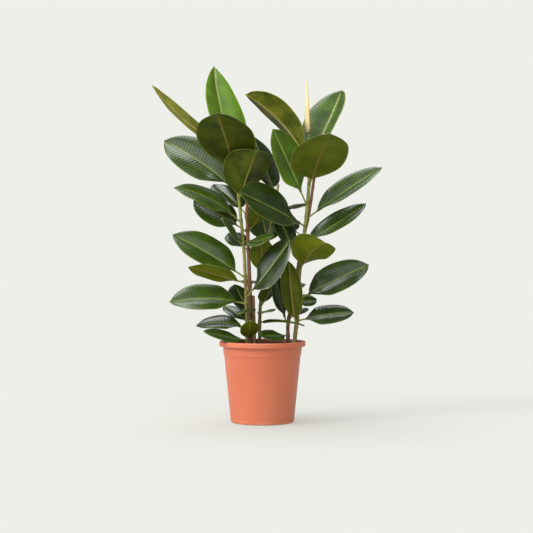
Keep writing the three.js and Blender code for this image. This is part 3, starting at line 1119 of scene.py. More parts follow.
@dataclass
class NurseryPot:
    """The moulded pot, turned ring by ring over the CAD pot.

    Attributes:
        height: Floor to rim.
        rim_diameter: Over the turned-down rim.
        rim_band: Height of the turned-down rim.
        overhang: How far the rim stands out from the wall.
        base_diameter: At the foot.
        wall: Wall thickness.
        step_drop: Stacking step below the rim's top.
        step_width: How far the wall steps in.
        step_height: Height of the step's slope.
        foot_inset: Width of the rounded edge outside the ring that it stands on.
        foot_ring: Width of that ring.
        pad_diameter: The flat pad under the middle.
        recess: Clearance under the drained floor.
        floor: Thickness of the drained floor.
        drains: Number of drain holes.
        drain_diameter: Diameter of each hole.
        segments: Facets round.
    """

    height: float = 197 * MM
    rim_diameter: float = 210 * MM
    rim_band: float = 12 * MM
    overhang: float = 7 * MM
    base_diameter: float = 154 * MM
    wall: float = 2 * MM
    step_drop: float = 32 * MM
    step_width: float = 1.1 * MM
    step_height: float = 3 * MM
    foot_inset: float = 5 * MM
    foot_ring: float = 11 * MM
    pad_diameter: float = 56 * MM
    recess: float = 4 * MM
    floor: float = 2.2 * MM
    drains: int = 8
    drain_diameter: float = 11 * MM
    segments: int = 144

    def wall_radius(self, height: float) -> float:
        """Returns the wall's outer radius at a height, with the stacking step let in."""
        top = self.rim_diameter / 2 - self.overhang
        base = self.base_diameter / 2
        step = self.height - self.step_drop
        below = min(max((step - height) / self.step_height, 0.0), 1.0)
        return base + (top - base) * height / self.height - self.step_width * below * height / step

    def ring_inside(self) -> float:
        """Returns the inner radius of the ring it stands on."""
        return self.base_diameter / 2 - self.foot_inset - self.foot_ring

    def profile(self) -> list[tuple[float, float, float]]:
        """Lists the corners of the pot's section, from under its middle to the inside of its floor.

        Returns:
            The radius, height and rounding of each corner.
        """
        rim, wall, top = self.rim_diameter / 2, self.wall, self.height
        step = top - self.step_drop
        inner = self.ring_inside()
        lip = top - self.rim_band
        under_rim = top - 2 * wall
        floor_top = self.recess + self.floor
        at = self.wall_radius
        return [
            (self.pad_diameter / 2, 0.0, 0.6 * MM),
            (self.pad_diameter / 2 + 1.5 * MM, self.recess, 0.6 * MM),
            (inner - 1.5 * MM, self.recess, 0.6 * MM),
            (inner, 0.0, 0.8 * MM),
            (at(0.0), 0.0, 4.5 * MM),
            (at(9 * MM), 9 * MM, 0.4 * MM),
            (at(9.6 * MM) - 0.35 * MM, 9.6 * MM, 0.3 * MM),
            (at(10.6 * MM), 10.6 * MM, 0.4 * MM),
            (at(step - self.step_height), step - self.step_height, 0.8 * MM),
            (at(step) + 0.25 * MM, step - 0.4 * MM, 0.7 * MM),
            (at(step + 2 * MM), step + 2 * MM, 0.6 * MM),
            (at(under_rim), under_rim, 0.8 * MM),
            (rim - wall, under_rim, 0.8 * MM),
            (rim - wall + 0.2 * MM, lip, 0.5 * MM),
            (rim, lip, 0.8 * MM),
            (rim - 0.3 * MM, top, 2.6 * MM),
            (at(top) - wall, top, 2.4 * MM),
            (at(step) - wall, step, 0.8 * MM),
            (at(step - self.step_height) - wall, step - self.step_height, 0.8 * MM),
            (at(floor_top) - wall, floor_top, 2.0 * MM),
        ]

    def rounded(self) -> list[tuple[float, float]]:
        """Rounds the corners of the section.

        Returns:
            The radius and height of each ring.
        """
        corners = self.profile()
        points = [Vector((r, z)) for r, z, _ in corners]
        rings: list[tuple[float, float]] = []
        for index, (_, _, size) in enumerate(corners):
            here = points[index]
            before = points[index - 1] if index else Vector((0.0, 0.0))
            last = index + 1 == len(points)
            after = Vector((0.0, here.y)) if last else points[index + 1]
            reach = min(size, (before - here).length * 0.45, (after - here).length * 0.45)
            start = here + (before - here).normalized() * reach
            end = here + (after - here).normalized() * reach
            steps = 5 if size > 2 * MM else 3
            for step in range(steps + 1):
                t = step / steps
                place = start * (1 - t) ** 2 + here * 2 * t * (1 - t) + end * t * t
                rings.append((place.x, place.y))
        return rings

    def turn(self) -> bpy.types.Object:
        """Draws the pot up ring by ring from the disc under its middle.

        Returns:
            The closed pot, with no holes yet.
        """
        rings = self.rounded()
        clear_bench()
        radius, height = rings[0]
        disc = {"radius": radius, "fill_type": "NGON", "location": (0.0, 0.0, height)}
        bpy.ops.mesh.primitive_circle_add(vertices=self.segments, **disc)
        pot = bpy.context.object
        pot.name = "nursery_pot"
        bpy.ops.object.transform_apply(location=True, rotation=True, scale=True)
        bpy.ops.object.mode_set(mode="EDIT")
        bpy.ops.mesh.select_mode(type="EDGE")
        bpy.ops.mesh.select_all(action="SELECT")
        bpy.ops.mesh.region_to_loop()
        for next_radius, next_height in rings[1:]:
            rise = {"value": (0.0, 0.0, next_height - height)}
            bpy.ops.mesh.extrude_region_move(TRANSFORM_OT_translate=rise)
            grow = next_radius / radius
            middle = (0.0, 0.0, next_height)
            bpy.ops.transform.resize(value=(grow, grow, 1.0), center_override=middle)
            radius, height = next_radius, next_height
        bpy.ops.mesh.edge_face_add()
        bpy.ops.mesh.select_all(action="SELECT")
        bpy.ops.mesh.remove_doubles(threshold=HAIR)
        bpy.ops.mesh.normals_make_consistent(inside=False)
        bpy.ops.object.mode_set(mode="OBJECT")
        return pot

    def drill(self, pot: bpy.types.Object) -> None:
        """Cuts the drain holes through the floor.

        Args:
            pot: The pot.
        """
        ring = (self.pad_diameter / 2 + self.ring_inside()) / 2
        drills = []
        for index in range(self.drains):
            turn = 2 * math.pi * index / self.drains
            where = (ring * math.cos(turn), ring * math.sin(turn), self.recess + self.floor / 2)
            clear_bench()
            size = {"radius": self.drain_diameter / 2, "depth": 4 * self.floor}
            bpy.ops.mesh.primitive_cylinder_add(vertices=32, location=where, **size)
            drills.append(bpy.context.object)
        tool = join_into(drills[0], drills[1:])
        apply_modifier(pot, "BOOLEAN", operation="DIFFERENCE", object=tool, solver="EXACT")
        bpy.data.objects.remove(tool)

    def build(self, effects: SharedEffects) -> None:
        """Builds the pot and dresses it.

        Args:
            effects: The shared groups.
        """
        pot = self.turn()
        self.drill(pot)
        skin = PotFinish(rim_height=self.height)
        pot.data.materials.append(skin.make(effects))
        finish_piece(pot, "terracotta_plastic", ["pot"], angle=32.0)


# ---- Soil ----


@dataclass
class PottingSoil:
    """The soil block, with lumps, bark chips and pale grit on it.

    Attributes:
        pot: The pot it fills.
        drop: Soil surface below the rim.
        mound: Extra height at the middle.
        gap: Clearance to the wall.
        rings: Rings of faces over its top.
        edge: How far from the wall the roughness starts.
        clear_of_stems: How near a stem a loose grain may lie.
        segments: Facets round.
        seed: Seed of what lies where.
    """

    pot: NurseryPot
    drop: float = 15 * MM
    mound: float = 4 * MM
    gap: float = 0.3 * MM
    rings: int = 22
    edge: float = 4 * MM
    clear_of_stems: float = 7.5 * MM
    segments: int = 120
    seed: int = 11

    def block(self) -> bpy.types.Object:
        """Builds the block and roughens its top.

        Returns:
            The soil.
        """
        level = self.pot.height - self.drop
        low = self.pot.recess + self.pot.floor + self.gap
        top_radius = self.pot.wall_radius(level) - self.pot.wall - self.gap
        low_radius = self.pot.wall_radius(low) - 2.2 * self.pot.wall
        clear_bench()
        shape = {"radius1": low_radius, "radius2": top_radius, "depth": level - low}
        shape["location"] = (0.0, 0.0, (level + low) / 2)
        bpy.ops.mesh.primitive_cone_add(vertices=self.segments, **shape)
        soil = bpy.context.object
        soil.name = "soil_block"
        bpy.ops.object.transform_apply(location=True, rotation=True, scale=True)
        bpy.ops.object.mode_set(mode="EDIT")
        pick(soil, lambda p: p.z > level - HAIR, "FACE")
        for ring in range(self.rings):
            bpy.ops.mesh.inset(thickness=top_radius / (self.rings + 1))
            share = (ring + 1) / self.rings
            rise = math.sin(share * math.pi / 2)
            rise -= math.sin((share - 1 / self.rings) * math.pi / 2)
            bpy.ops.transform.translate(value=(0.0, 0.0, self.mound * rise))
        bpy.ops.mesh.select_all(action="SELECT")
        bpy.ops.mesh.normals_make_consistent(inside=False)
        pick(soil, lambda p: p.z > level + HAIR, "FACE")
        bpy.ops.mesh.subdivide(number_cuts=1)
        bpy.ops.object.mode_set(mode="OBJECT")
        top = soil.vertex_groups.new(name="top")
        for vertex in soil.data.vertices:
            reach = vertex.co.xy.length
            if vertex.co.z > level - HAIR:
                top.add([vertex.index], min(1.0, (top_radius - reach) / self.edge), "REPLACE")
        for size, depth in ((16 * MM, 5.0 * MM), (5 * MM, 2.6 * MM)):
            lumps = bpy.data.textures.new("soil_lumps", "CLOUDS")
            lumps.noise_scale = size
            lumps.noise_depth = 2
            settings = {"texture": lumps, "texture_coords": "LOCAL", "direction": "Z"}
            settings |= {"mid_level": 0.55, "strength": depth, "vertex_group": "top"}
            apply_modifier(soil, "DISPLACE", **settings)
        return soil

    def lump(
        self, name: str, size: tuple[float, float, float], finish: bpy.types.Material
    ) -> bpy.types.Object:
        """Models one loose grain, to be copied.

        Args:
            name: Its name.
            size: Its half lengths.
            finish: Its material.

        Returns:
            The grain, round the origin.
        """
        clear_bench()
        bpy.ops.mesh.primitive_ico_sphere_add(subdivisions=2, radius=1.0)
        grain = bpy.context.object
        grain.name = name
        bpy.ops.object.mode_set(mode="EDIT")
        bpy.ops.mesh.select_all(action="SELECT")
        bpy.ops.transform.vertex_random(offset=0.28, seed=self.seed)
        bpy.ops.transform.resize(value=size, center_override=(0.0, 0.0, 0.0))
        bpy.ops.object.mode_set(mode="OBJECT")
        grain.data.materials.append(finish)
        return grain

    def scatter(
        self, soil: bpy.types.Object, grain: bpy.types.Object, count: int, stems: list[Vector]
    ) -> None:
        """Strews copies of a grain over the soil and joins them.

        Args:
            soil: The soil they lie on.
            grain: The grain to copy.
            count: How many.
            stems: Where the stems stand.
        """
        rng = random.Random(self.seed + count)
        wall = self.pot.wall_radius(self.pot.height - self.drop) - self.pot.wall
        reach = wall - self.edge
        copies = []
        while len(copies) < count:
            turn, out = rng.uniform(0, 2 * math.pi), reach * math.sqrt(rng.random())
            spot = Vector((out * math.cos(turn), out * math.sin(turn), 0.3))
            if any((spot.xy - stem.xy).length < self.clear_of_stems for stem in stems):
                continue
            hit, place, _, _ = soil.ray_cast(spot, Vector((0.0, 0.0, -1.0)))
            if not hit:
                continue
            twin = copy_of(grain, grain.name)
            size = rng.uniform(0.55, 1.35)
            twin.scale = (size, size * rng.uniform(0.8, 1.2), size)
            lean = (rng.uniform(-0.6, 0.6), rng.uniform(-0.6, 0.6))
            twin.rotation_euler = (*lean, rng.uniform(0, 6.3))
            twin.location = place + Vector((0.0, 0.0, rng.uniform(0.0, 0.6) * MM))
            copies.append(twin)
        bpy.data.objects.remove(grain)
        strewn = join_into(copies[0], copies[1:])
        bpy.ops.object.transform_apply(location=True, rotation=True, scale=True)
        strewn.name = strewn.name.split(".")[0]
        finish_piece(strewn, "potting_soil")

    def build(self, effects: SharedEffects, stems: list[Vector]) -> None:
        """Builds the soil and what lies on it.

        Args:
            effects: The shared groups.
            stems: Where the stems stand.
        """
        soil = self.block()
        soil.data.materials.append(SOIL.make(effects))
        finish_piece(soil, "potting_soil", ["soil"])
        lumps = (
            ("soil_crumbs", (2.0, 1.7, 1.3), 420, SOIL_LUMPS),
            ("fine_crumbs", (1.0, 0.9, 0.8), 520, SOIL_LUMPS),
            ("bark_chips", (4.6, 1.8, 0.8), 46, BARK_CHIPS),
            ("grit_grains", (1.4, 1.2, 1.0), 34, PALE_GRIT),
        )
        for name, size, count, finish in lumps:
            grain = self.lump(name, tuple(value * MM for value in size), finish.make(effects))
            self.scatter(soil, grain, count, stems)


# ---- Stems and buds ----


@dataclass
class Stem:
    """One stem with the scars that its shed leaves left.

    Attributes:
        name: The CAD node.
        kind: Green or woody.
        joints: Where leaves are joined to it.
        step: Distance between the rings.
        sides: Facets round.
        cut: Whether its top was cut off.
    """

    name: str
    kind: StemKind
    joints: list[Vector]
    step: float = 2.4 * MM
    sides: int = 20
    cut: bool = False

    def build(self, bark: bpy.types.Material) -> None:
        """Builds the stem and dresses it.

        Args:
            bark: Its skin.
        """
        limb = Limb.read(self.name, from_low_end=True)
        middles, girths = limb.centres()[1:-1], limb.girths()[1:-1]
        rng = random.Random(self.name)
        length = sum((b - a).length for a, b in zip(middles, middles[1:]))
        count = int(length / self.step)
        line = [along(middles, (len(middles) - 1) * i / count) for i in range(count + 1)]
        travel = [0.0]
        for a, b in zip(line, line[1:]):
            travel.append(travel[-1] + (b - a).length)
        scars = []
        for joint in self.joints:
            nearest = min(range(len(line)), key=lambda i: (line[i] - joint).length)
            scars.append((travel[nearest], 0.16, 4.5 * MM))
        place = rng.uniform(8, 20) * MM
        while place < length:
            if all(abs(place - at) > 9 * MM for at, _, _ in scars):
                scars.append((place, rng.uniform(0.04, 0.09), rng.uniform(1.3, 2.2) * MM))
            place += rng.uniform(15, 34) * MM
        radii, marks = [], []
        for index, at in enumerate(travel):
            share = (len(girths) - 1) * index / count
            swell, shade = 0.0, 0.0
            for where, size, reach in scars:
                swell += size * math.exp(-(((at - where) / reach) ** 2))
                shade = max(shade, math.exp(-(((at - where) / (0.55 * reach)) ** 2)))
            flaw = 0.012 * math.sin(at * 310 + rng.random() * 0.8)
            end = 1.0 if self.cut else min(1.0, 0.55 + (length - at) / (9 * MM))
            radii.append(between(girths, share) * (1 + min(swell, 0.2) + flaw) * end)
            marks.append(shade)
        stem = tube("rubber_" + self.name, line, radii, self.sides)
        nearest, _ = nearest_on(line, places(stem))
        mark(stem, "scar", np.array(marks)[nearest])
        if self.cut:
            take(stem)
            bpy.ops.object.mode_set(mode="EDIT")
            top = line[-1].z
            pick(stem, lambda p: p.z > top - 1.2 * MM, "FACE")
            bpy.ops.mesh.inset(thickness=0.5 * MM)
            bpy.ops.transform.translate(value=(0.0, 0.0, -0.4 * MM))
            bpy.ops.object.mode_set(mode="OBJECT")
        bumps = bpy.data.textures.new("bark_bumps", "CLOUDS")
        bumps.noise_scale = 9 * MM
        settings = {"texture": bumps, "texture_coords": "LOCAL", "mid_level": 0.5}
        apply_modifier(stem, "DISPLACE", strength=0.7 * MM, **settings)
        stem.data.materials.append(bark)
        finish_piece(stem, self.kind.value, [self.name])


@dataclass
class Bud:
    """A rolled leaf in its pointed sheath.

    Attributes:
        name: The CAD node.
        sides: Facets round.
        rings: Rings along it.
        ridge: Height of the seam, as a share of the radius.
    """

    name: str
    sides: int = 24
    rings: int = 60
    ridge: float = 0.22

    def build(self, skin: bpy.types.Material) -> None:
        """Builds the bud and dresses it.

        Args:
            skin: The sheath's finish.
        """
        limb = Limb.read(self.name, from_low_end=True)
        middles, girths = limb.centres(), limb.girths()
        last = len(middles) - 1
        line, radii = [], []
        for index in range(self.rings + 1):
            place = last * index / self.rings
            line.append(along(middles, place))
            radii.append(max(between(girths, place), 0.12 * MM))
        bud = tube("rubber_" + self.name, line, radii, self.sides)
        nearest, out = nearest_on(line, places(bud))
        share = nearest / self.rings
        seam = np.arctan2(out[:, 1], out[:, 0]) + 1.35 - 0.9 * share
        facing = np.maximum(np.cos(seam), 0.0)
        mark(bud, "along", share)
        mark(bud, "flush", np.where(np.sin(seam) > 0, 1 - facing**3 * 0.2, facing**6 * 0.5))
        take(bud)
        group = bud.vertex_groups.new(name="seam")
        for index, weight in enumerate(facing**24):
            group.add([index], float(weight), "REPLACE")
        settings = {"mid_level": 0.0, "vertex_group": "seam"}
        apply_modifier(bud, "DISPLACE", strength=self.ridge * max(radii), **settings)
        bud.data.materials.append(skin)
        finish_piece(bud, "bud_sheath", [self.name], angle=50.0)


# ---- Leaves ----

TIP_ROW = 14  # the row of a leaf's tip, counted from its joint
BLADE_ROW = 4  # the first row of its blade
WIDEST_ROW = 9
BLANK_START = 3.35  # where the flat blade starts, counted in rows
LEAF_SIDES = 8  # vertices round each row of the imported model
CAGE_COLUMNS = 7
CAGE_ROWS = TIP_ROW + 3
ON_COLUMN = 0.005  # how near a column of the flat blade a vertex counts as on it
RIB_WIDTHS = [1.12, 1.0, 0.92, 0.94, 0.96, 0.9, 0.82, 0.72, 0.62, 0.52, 0.42, 0.34, 0.26, 0.18, 0.1]
RIBBON_PARTS = ("centre", "left", "right", "half_left", "half_right", "up")


@dataclass
class LeafRibbon:
    """The run of a leaf from its joint to its tip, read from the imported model.

    Attributes:
        centre: The middle of the blade at each row, with the stalk's own middle before it.
        left: The left edge at each row.
        right: The right edge at each row.
        half_left: The blade half-way out to the left.
        half_right: The blade half-way out to the right.
        up: The way the upper side faces at each row.
    """

    centre: list[Vector]
    left: list[Vector]
    right: list[Vector]
    half_left: list[Vector]
    half_right: list[Vector]
    up: list[Vector]

    @classmethod
    def read(cls, name: str, thickness: float) -> "LeafRibbon":
        """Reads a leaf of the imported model.

        Args:
            name: The CAD node.
            thickness: The CAD blade's thickness.

        Returns:
            The ribbon.
        """
        rows = Limb.read(name, from_low_end=False).rows
        widest = rows[WIDEST_ROW]
        first = max(range(4), key=lambda i: (widest[i] - widest[i + 4]).length)

        def sag(side: int) -> Vector:
            """Returns how a centre point lies against the points on either side of it."""
            before, after = widest[(side - 1) % LEAF_SIDES], widest[(side + 1) % LEAF_SIDES]
            return widest[side % LEAF_SIDES] - (before + after) / 2

        down = sag(first + 2) + sag(first + 6)
        if (widest[(first + 6) % LEAF_SIDES] - widest[first + 2]).dot(down) < 0:
            first += LEAF_SIDES // 2
        parts: dict[str, list[Vector]] = {key: [] for key in RIBBON_PARTS}
        for index, row in enumerate(rows):
            if len(row) == 1:
                for key in RIBBON_PARTS:
                    parts[key].append(Vector() if key == "up" else row[0].copy())
                continue
            ring = [row[(first + k) % LEAF_SIDES] for k in range(LEAF_SIDES)]
            up = (ring[2] - ring[6]).normalized()
            on_blade = index >= BLADE_ROW
            middle = ring[2] - up * thickness / 2 if on_blade else sum(ring, Vector()) / LEAF_SIDES
            parts["centre"].append(middle)
            parts["right"].append(ring[0])
            parts["left"].append(ring[4])
            parts["half_right"].append((ring[1] + ring[7]) / 2)
            parts["half_left"].append((ring[3] + ring[5]) / 2)
            parts["up"].append(up)
        parts["up"][0], parts["up"][-1] = parts["up"][1], parts["up"][-2]
        ahead = parts["centre"][WIDEST_ROW + 1] - parts["centre"][WIDEST_ROW - 1]
        to_right = parts["right"][WIDEST_ROW] - parts["left"][WIDEST_ROW]
        if to_right.dot(ahead.cross(parts["up"][WIDEST_ROW])) < 0:
            parts["right"], parts["left"] = parts["left"], parts["right"]
            parts["half_right"], parts["half_left"] = parts["half_left"], parts["half_right"]
        return cls(**parts)

    def stations(self) -> list[list[Vector]]:
        """Lists the points across each row for the cage, one row and one column past each end.

        Returns:
            For each row, the places from the left past the edge to the right past the edge.
        """
        rows = []
        for index in range(len(self.centre)):
            inner = [self.left[index], self.half_left[index], self.centre[index]]
            inner += [self.half_right[index], self.right[index]]
            rows.append([inner[0] * 2 - inner[1], *inner, inner[-1] * 2 - inner[-2]])
        before = [a * 2 - b for a, b in zip(rows[0], rows[1])]
        after = [a * 2 - b for a, b in zip(rows[-1], rows[-2])]
        return [before, *rows, after]


@dataclass
class LeafPattern:
    """The flat blade that every leaf is bent from, and the cage that bends it.

    Attributes:
        rows: Faces along the blade.
        cuts: Places of the columns on each side, as shares of the half-width.
        valley: How deep the blade dips at the midrib.
        crown: How far each half swells upward.
        thickness: Thickness of the blade.
        blank: The flat blade.
        cage: The lattice that bends it.
        cage_depth: Depth of the cage.
    """

    rows: int = 66
    cuts: tuple[float, ...] = (0.03, 0.08, 0.16, 0.27, 0.39, 0.51, 0.63, 0.74, 0.84, 0.92, 0.97)
    valley: float = 1.0 * MM
    crown: float = 1.3 * MM
    thickness: float = 1.1 * MM
    blank: bpy.types.Object = field(init=False)
    cage: bpy.types.Object = field(init=False)
    cage_depth: float = 10 * MM

    def __post_init__(self) -> None:
        """Builds the blank and its cage."""
        self.blank = self.build_blank()
        self.cage = self.build_cage()

    def build_blank(self) -> bpy.types.Object:
        """Models the blade flat: across is -1 to 1, and along counts the leaf's rows.

        Returns:
            The blank.
        """
        clear_bench()
        middle = (BLANK_START + TIP_ROW) / 2
        bpy.ops.mesh.primitive_grid_add(x_subdivisions=2, y_subdivisions=self.rows, size=2.0)
        blank = bpy.context.object
        blank.name = "leaf_blank"
        bpy.ops.object.mode_set(mode="EDIT")
        bpy.ops.mesh.select_all(action="SELECT")
        stretch = (1.0, (TIP_ROW - BLANK_START) / 2, 1.0)
        bpy.ops.transform.resize(value=stretch, center_override=(0.0, 0.0, 0.0))
        bpy.ops.transform.translate(value=(0.0, middle, 0.0))
        for cut in self.cuts:
            for side in (-1, 1):
                bpy.ops.mesh.select_all(action="SELECT")
                bpy.ops.mesh.bisect(plane_co=(side * cut, 0.0, 0.0), plane_no=(1.0, 0.0, 0.0))
        for column in (0.0, *self.cuts):
            lift = self.crown * math.sin(math.pi * min(column / 0.95, 1.0)) ** 0.8
            dip = self.valley * math.exp(-((column / 0.07) ** 2))
            pick(blank, lambda p, c=column: abs(abs(p.x) - c) < ON_COLUMN)
            bpy.ops.transform.translate(value=(0.0, 0.0, lift - dip))
        pick(blank, lambda p: abs(abs(p.x) - 1.0) < ON_COLUMN)
        bpy.ops.transform.translate(value=(0.0, 0.0, -0.5 * MM))
        bpy.ops.object.mode_set(mode="OBJECT")
        return blank

    def build_cage(self) -> bpy.types.Object:
        """Makes the cage that carries the blank onto a leaf's rows.

        Returns:
            The cage, a lattice over the blank with one row and column to spare.
        """
        clear_bench()
        bpy.ops.object.add(type="LATTICE", location=(0.0, TIP_ROW / 2, 0.0))
        cage = bpy.context.object
        cage.name = "leaf_cage"
        bars = cage.data
        bars.points_u, bars.points_v, bars.points_w = CAGE_COLUMNS, CAGE_ROWS, 2
        bars.interpolation_type_u = "KEY_CATMULL_ROM"
        bars.interpolation_type_v = "KEY_CATMULL_ROM"
        bars.interpolation_type_w = "KEY_LINEAR"
        rest = [point.co for point in bars.points]
        spans = [max(p[axis] for p in rest) - min(p[axis] for p in rest) for axis in range(3)]
        sizes = (3.0, CAGE_ROWS - 1, self.cage_depth)
        cage.scale = tuple(size / span for size, span in zip(sizes, spans))
        bpy.context.view_layer.update()
        return cage

    def bend(self, name: str, ribbon: LeafRibbon, rng: random.Random) -> bpy.types.Object:
        """Bends a copy of the blank onto a leaf.

        Args:
            name: The leaf's name.
            ribbon: Its run.
            rng: Where its small waves come from.

        Returns:
            The blade, still one sheet, with its distances written on it.
        """
        inverse = self.cage.matrix_world.inverted()
        stations = ribbon.stations()
        ups = [ribbon.up[0], *ribbon.up, ribbon.up[-1]]
        wave, pace = rng.uniform(0, 6.3), rng.uniform(1.5, 2.3)
        span = (ribbon.right[WIDEST_ROW] - ribbon.left[WIDEST_ROW]).length
        for index, point in enumerate(self.cage.data.points):
            u, v = index % CAGE_COLUMNS, (index // CAGE_COLUMNS) % CAGE_ROWS
            w = index // (CAGE_COLUMNS * CAGE_ROWS)
            side = 1.0 if u > 3 else -1.0
            out = abs(u - 3) / 2
            lift = 0.0
            if 6 <= v <= 13:
                lift = 0.016 * span * max(out - 0.4, 0.0) * math.sin(v * pace + wave + side)
            place = stations[v][u] + ups[v] * ((w - 0.5) * self.cage_depth + lift)
            point.co_deform = inverse @ place
        blade = copy_of(self.blank, name)
        flat = places(blade)
        apply_modifier(blade, "LATTICE", object=self.cage)
        bent = places(blade)
        order = np.argsort(flat[:, 1], kind="stable")
        on_rib = order[np.abs(flat[order, 0]) < ON_COLUMN]
        rib_rows, rib_places = flat[on_rib, 1], bent[on_rib]
        lengths = np.linalg.norm(np.diff(rib_places, axis=0), axis=1)
        run = np.concatenate([[0.0], np.cumsum(lengths)])
        middle = np.stack(
            [np.interp(flat[:, 1], rib_rows, rib_places[:, axis]) for axis in range(3)], 1
        )
        distance = np.linalg.norm(bent - middle, axis=1) * np.sign(flat[:, 0])
        travel = np.interp(flat[:, 1], rib_rows, run)
        mark(blade, "across", flat[:, 0])
        mark(blade, "along", travel / run[-1])
        mark(blade, "rib_distance", distance)
        mark(blade, "leaf_distance", travel)
        mark(blade, "upper", np.ones(len(flat)))
        return blade

    def put_away(self) -> None:
        """Removes the blank and the cage."""
        bpy.data.objects.remove(self.blank)
        bpy.data.objects.remove(self.cage)


@dataclass
class Leaf:
    """One leaf: blade, midrib and stalk.

    Attributes:
        name: The CAD node.
        age: Grown or young.
        cad_thickness: Thickness of the CAD blade.
        stalk_radius: Radius of the stalk.
        rib_sides: Facets round the midrib.
        steps: Points to each row of the leaf.
    """

    name: str
    age: LeafAge
    cad_thickness: float = 1.3 * MM
    stalk_radius: float = 2.15 * MM
    rib_sides: int = 12
    steps: int = 5

    def rib(self, ribbon: LeafRibbon, pattern: LeafPattern) -> bpy.types.Object:
        """Draws the stalk and the midrib that runs on from it.

        Args:
            ribbon: The leaf's run.
            pattern: The blade's pattern.

        Returns:
            The tapering tube.
        """
        lengths = [(b - a).length for a, b in zip(ribbon.centre, ribbon.centre[1:])]
        blade_length = sum(lengths[BLADE_ROW:])
        size = min(1.0, 0.55 + blade_length / 0.30)
        top = pattern.thickness / 2 - pattern.valley + 0.32 * MM
        first = ribbon.centre[0]
        back = (first - ribbon.centre[1]).normalized()
        line, radii, rows = [first + back * 2.0 * MM], [self.stalk_radius * size * 1.15], [0.0]
        for index in range(self.steps * TIP_ROW):
            row = index / self.steps
            radius = self.stalk_radius * size * between(RIB_WIDTHS, row)
            up = along(ribbon.up, row).normalized()
            sunk = min(max((row - 2.6) / 2.2, 0.0), 1.0)
            line.append(along(ribbon.centre, row) + up * (top - radius) * sunk)
            radii.append(radius)
            rows.append(row)
        made = tube(self.name + "_rib", line, radii, self.rib_sides)
        ups = np.array([tuple(along(ribbon.up, row).normalized()) for row in rows])
        nearest, out = nearest_on(line, places(made))
        out /= np.maximum(np.linalg.norm(out, axis=1), 1e-9)[:, None]
        share = (np.array(rows)[nearest] - BLADE_ROW) / (TIP_ROW - BLADE_ROW)
        mark(made, "upper", (out * ups[nearest]).sum(1))
        mark(made, "along", share)
        mark(made, "across", np.zeros(len(out)))
        mark(made, "rib_distance", np.zeros(len(out)))
        mark(made, "leaf_distance", np.maximum(share, 0.0) * blade_length)
        return made

    def build(
        self, pattern: LeafPattern, finishes: list[bpy.types.Material], tone: float
    ) -> Vector:
        """Builds the leaf and dresses it.

        Args:
            pattern: The blade's pattern.
            finishes: The top, underside and rib.
            tone: How light this leaf's green is, from 0 to 1; for a few leaves this is painted
                shade and for one it is painted light.

        Returns:
            Where its stalk leaves the stem.
        """
        rng = random.Random(self.name)
        ribbon = LeafRibbon.read(self.name, self.cad_thickness)
        blade = pattern.bend("rubber_" + self.name, ribbon, rng)
        weld(blade, 0.01 * MM)
        blade.data.materials.append(finishes[0])
        blade.data.materials.append(finishes[1])
        wall = {"thickness": pattern.thickness, "offset": 0.0, "material_offset": 1}
        apply_modifier(blade, "SOLIDIFY", use_rim=True, material_offset_rim=0, **wall)
        rounding = {"width": 0.3 * MM, "segments": 2, "limit_method": "ANGLE"}
        apply_modifier(blade, "BEVEL", angle_limit=math.radians(55), **rounding)
        rib = self.rib(ribbon, pattern)
        rib.data.materials.append(finishes[2])
        leaf = join_into(blade, [rib])
        mark(leaf, "tone", np.full(len(leaf.data.vertices), tone))
        finish_piece(leaf, self.age.value, [self.name], angle=50.0)
        return ribbon.centre[0]


# ---- The whole plant ----


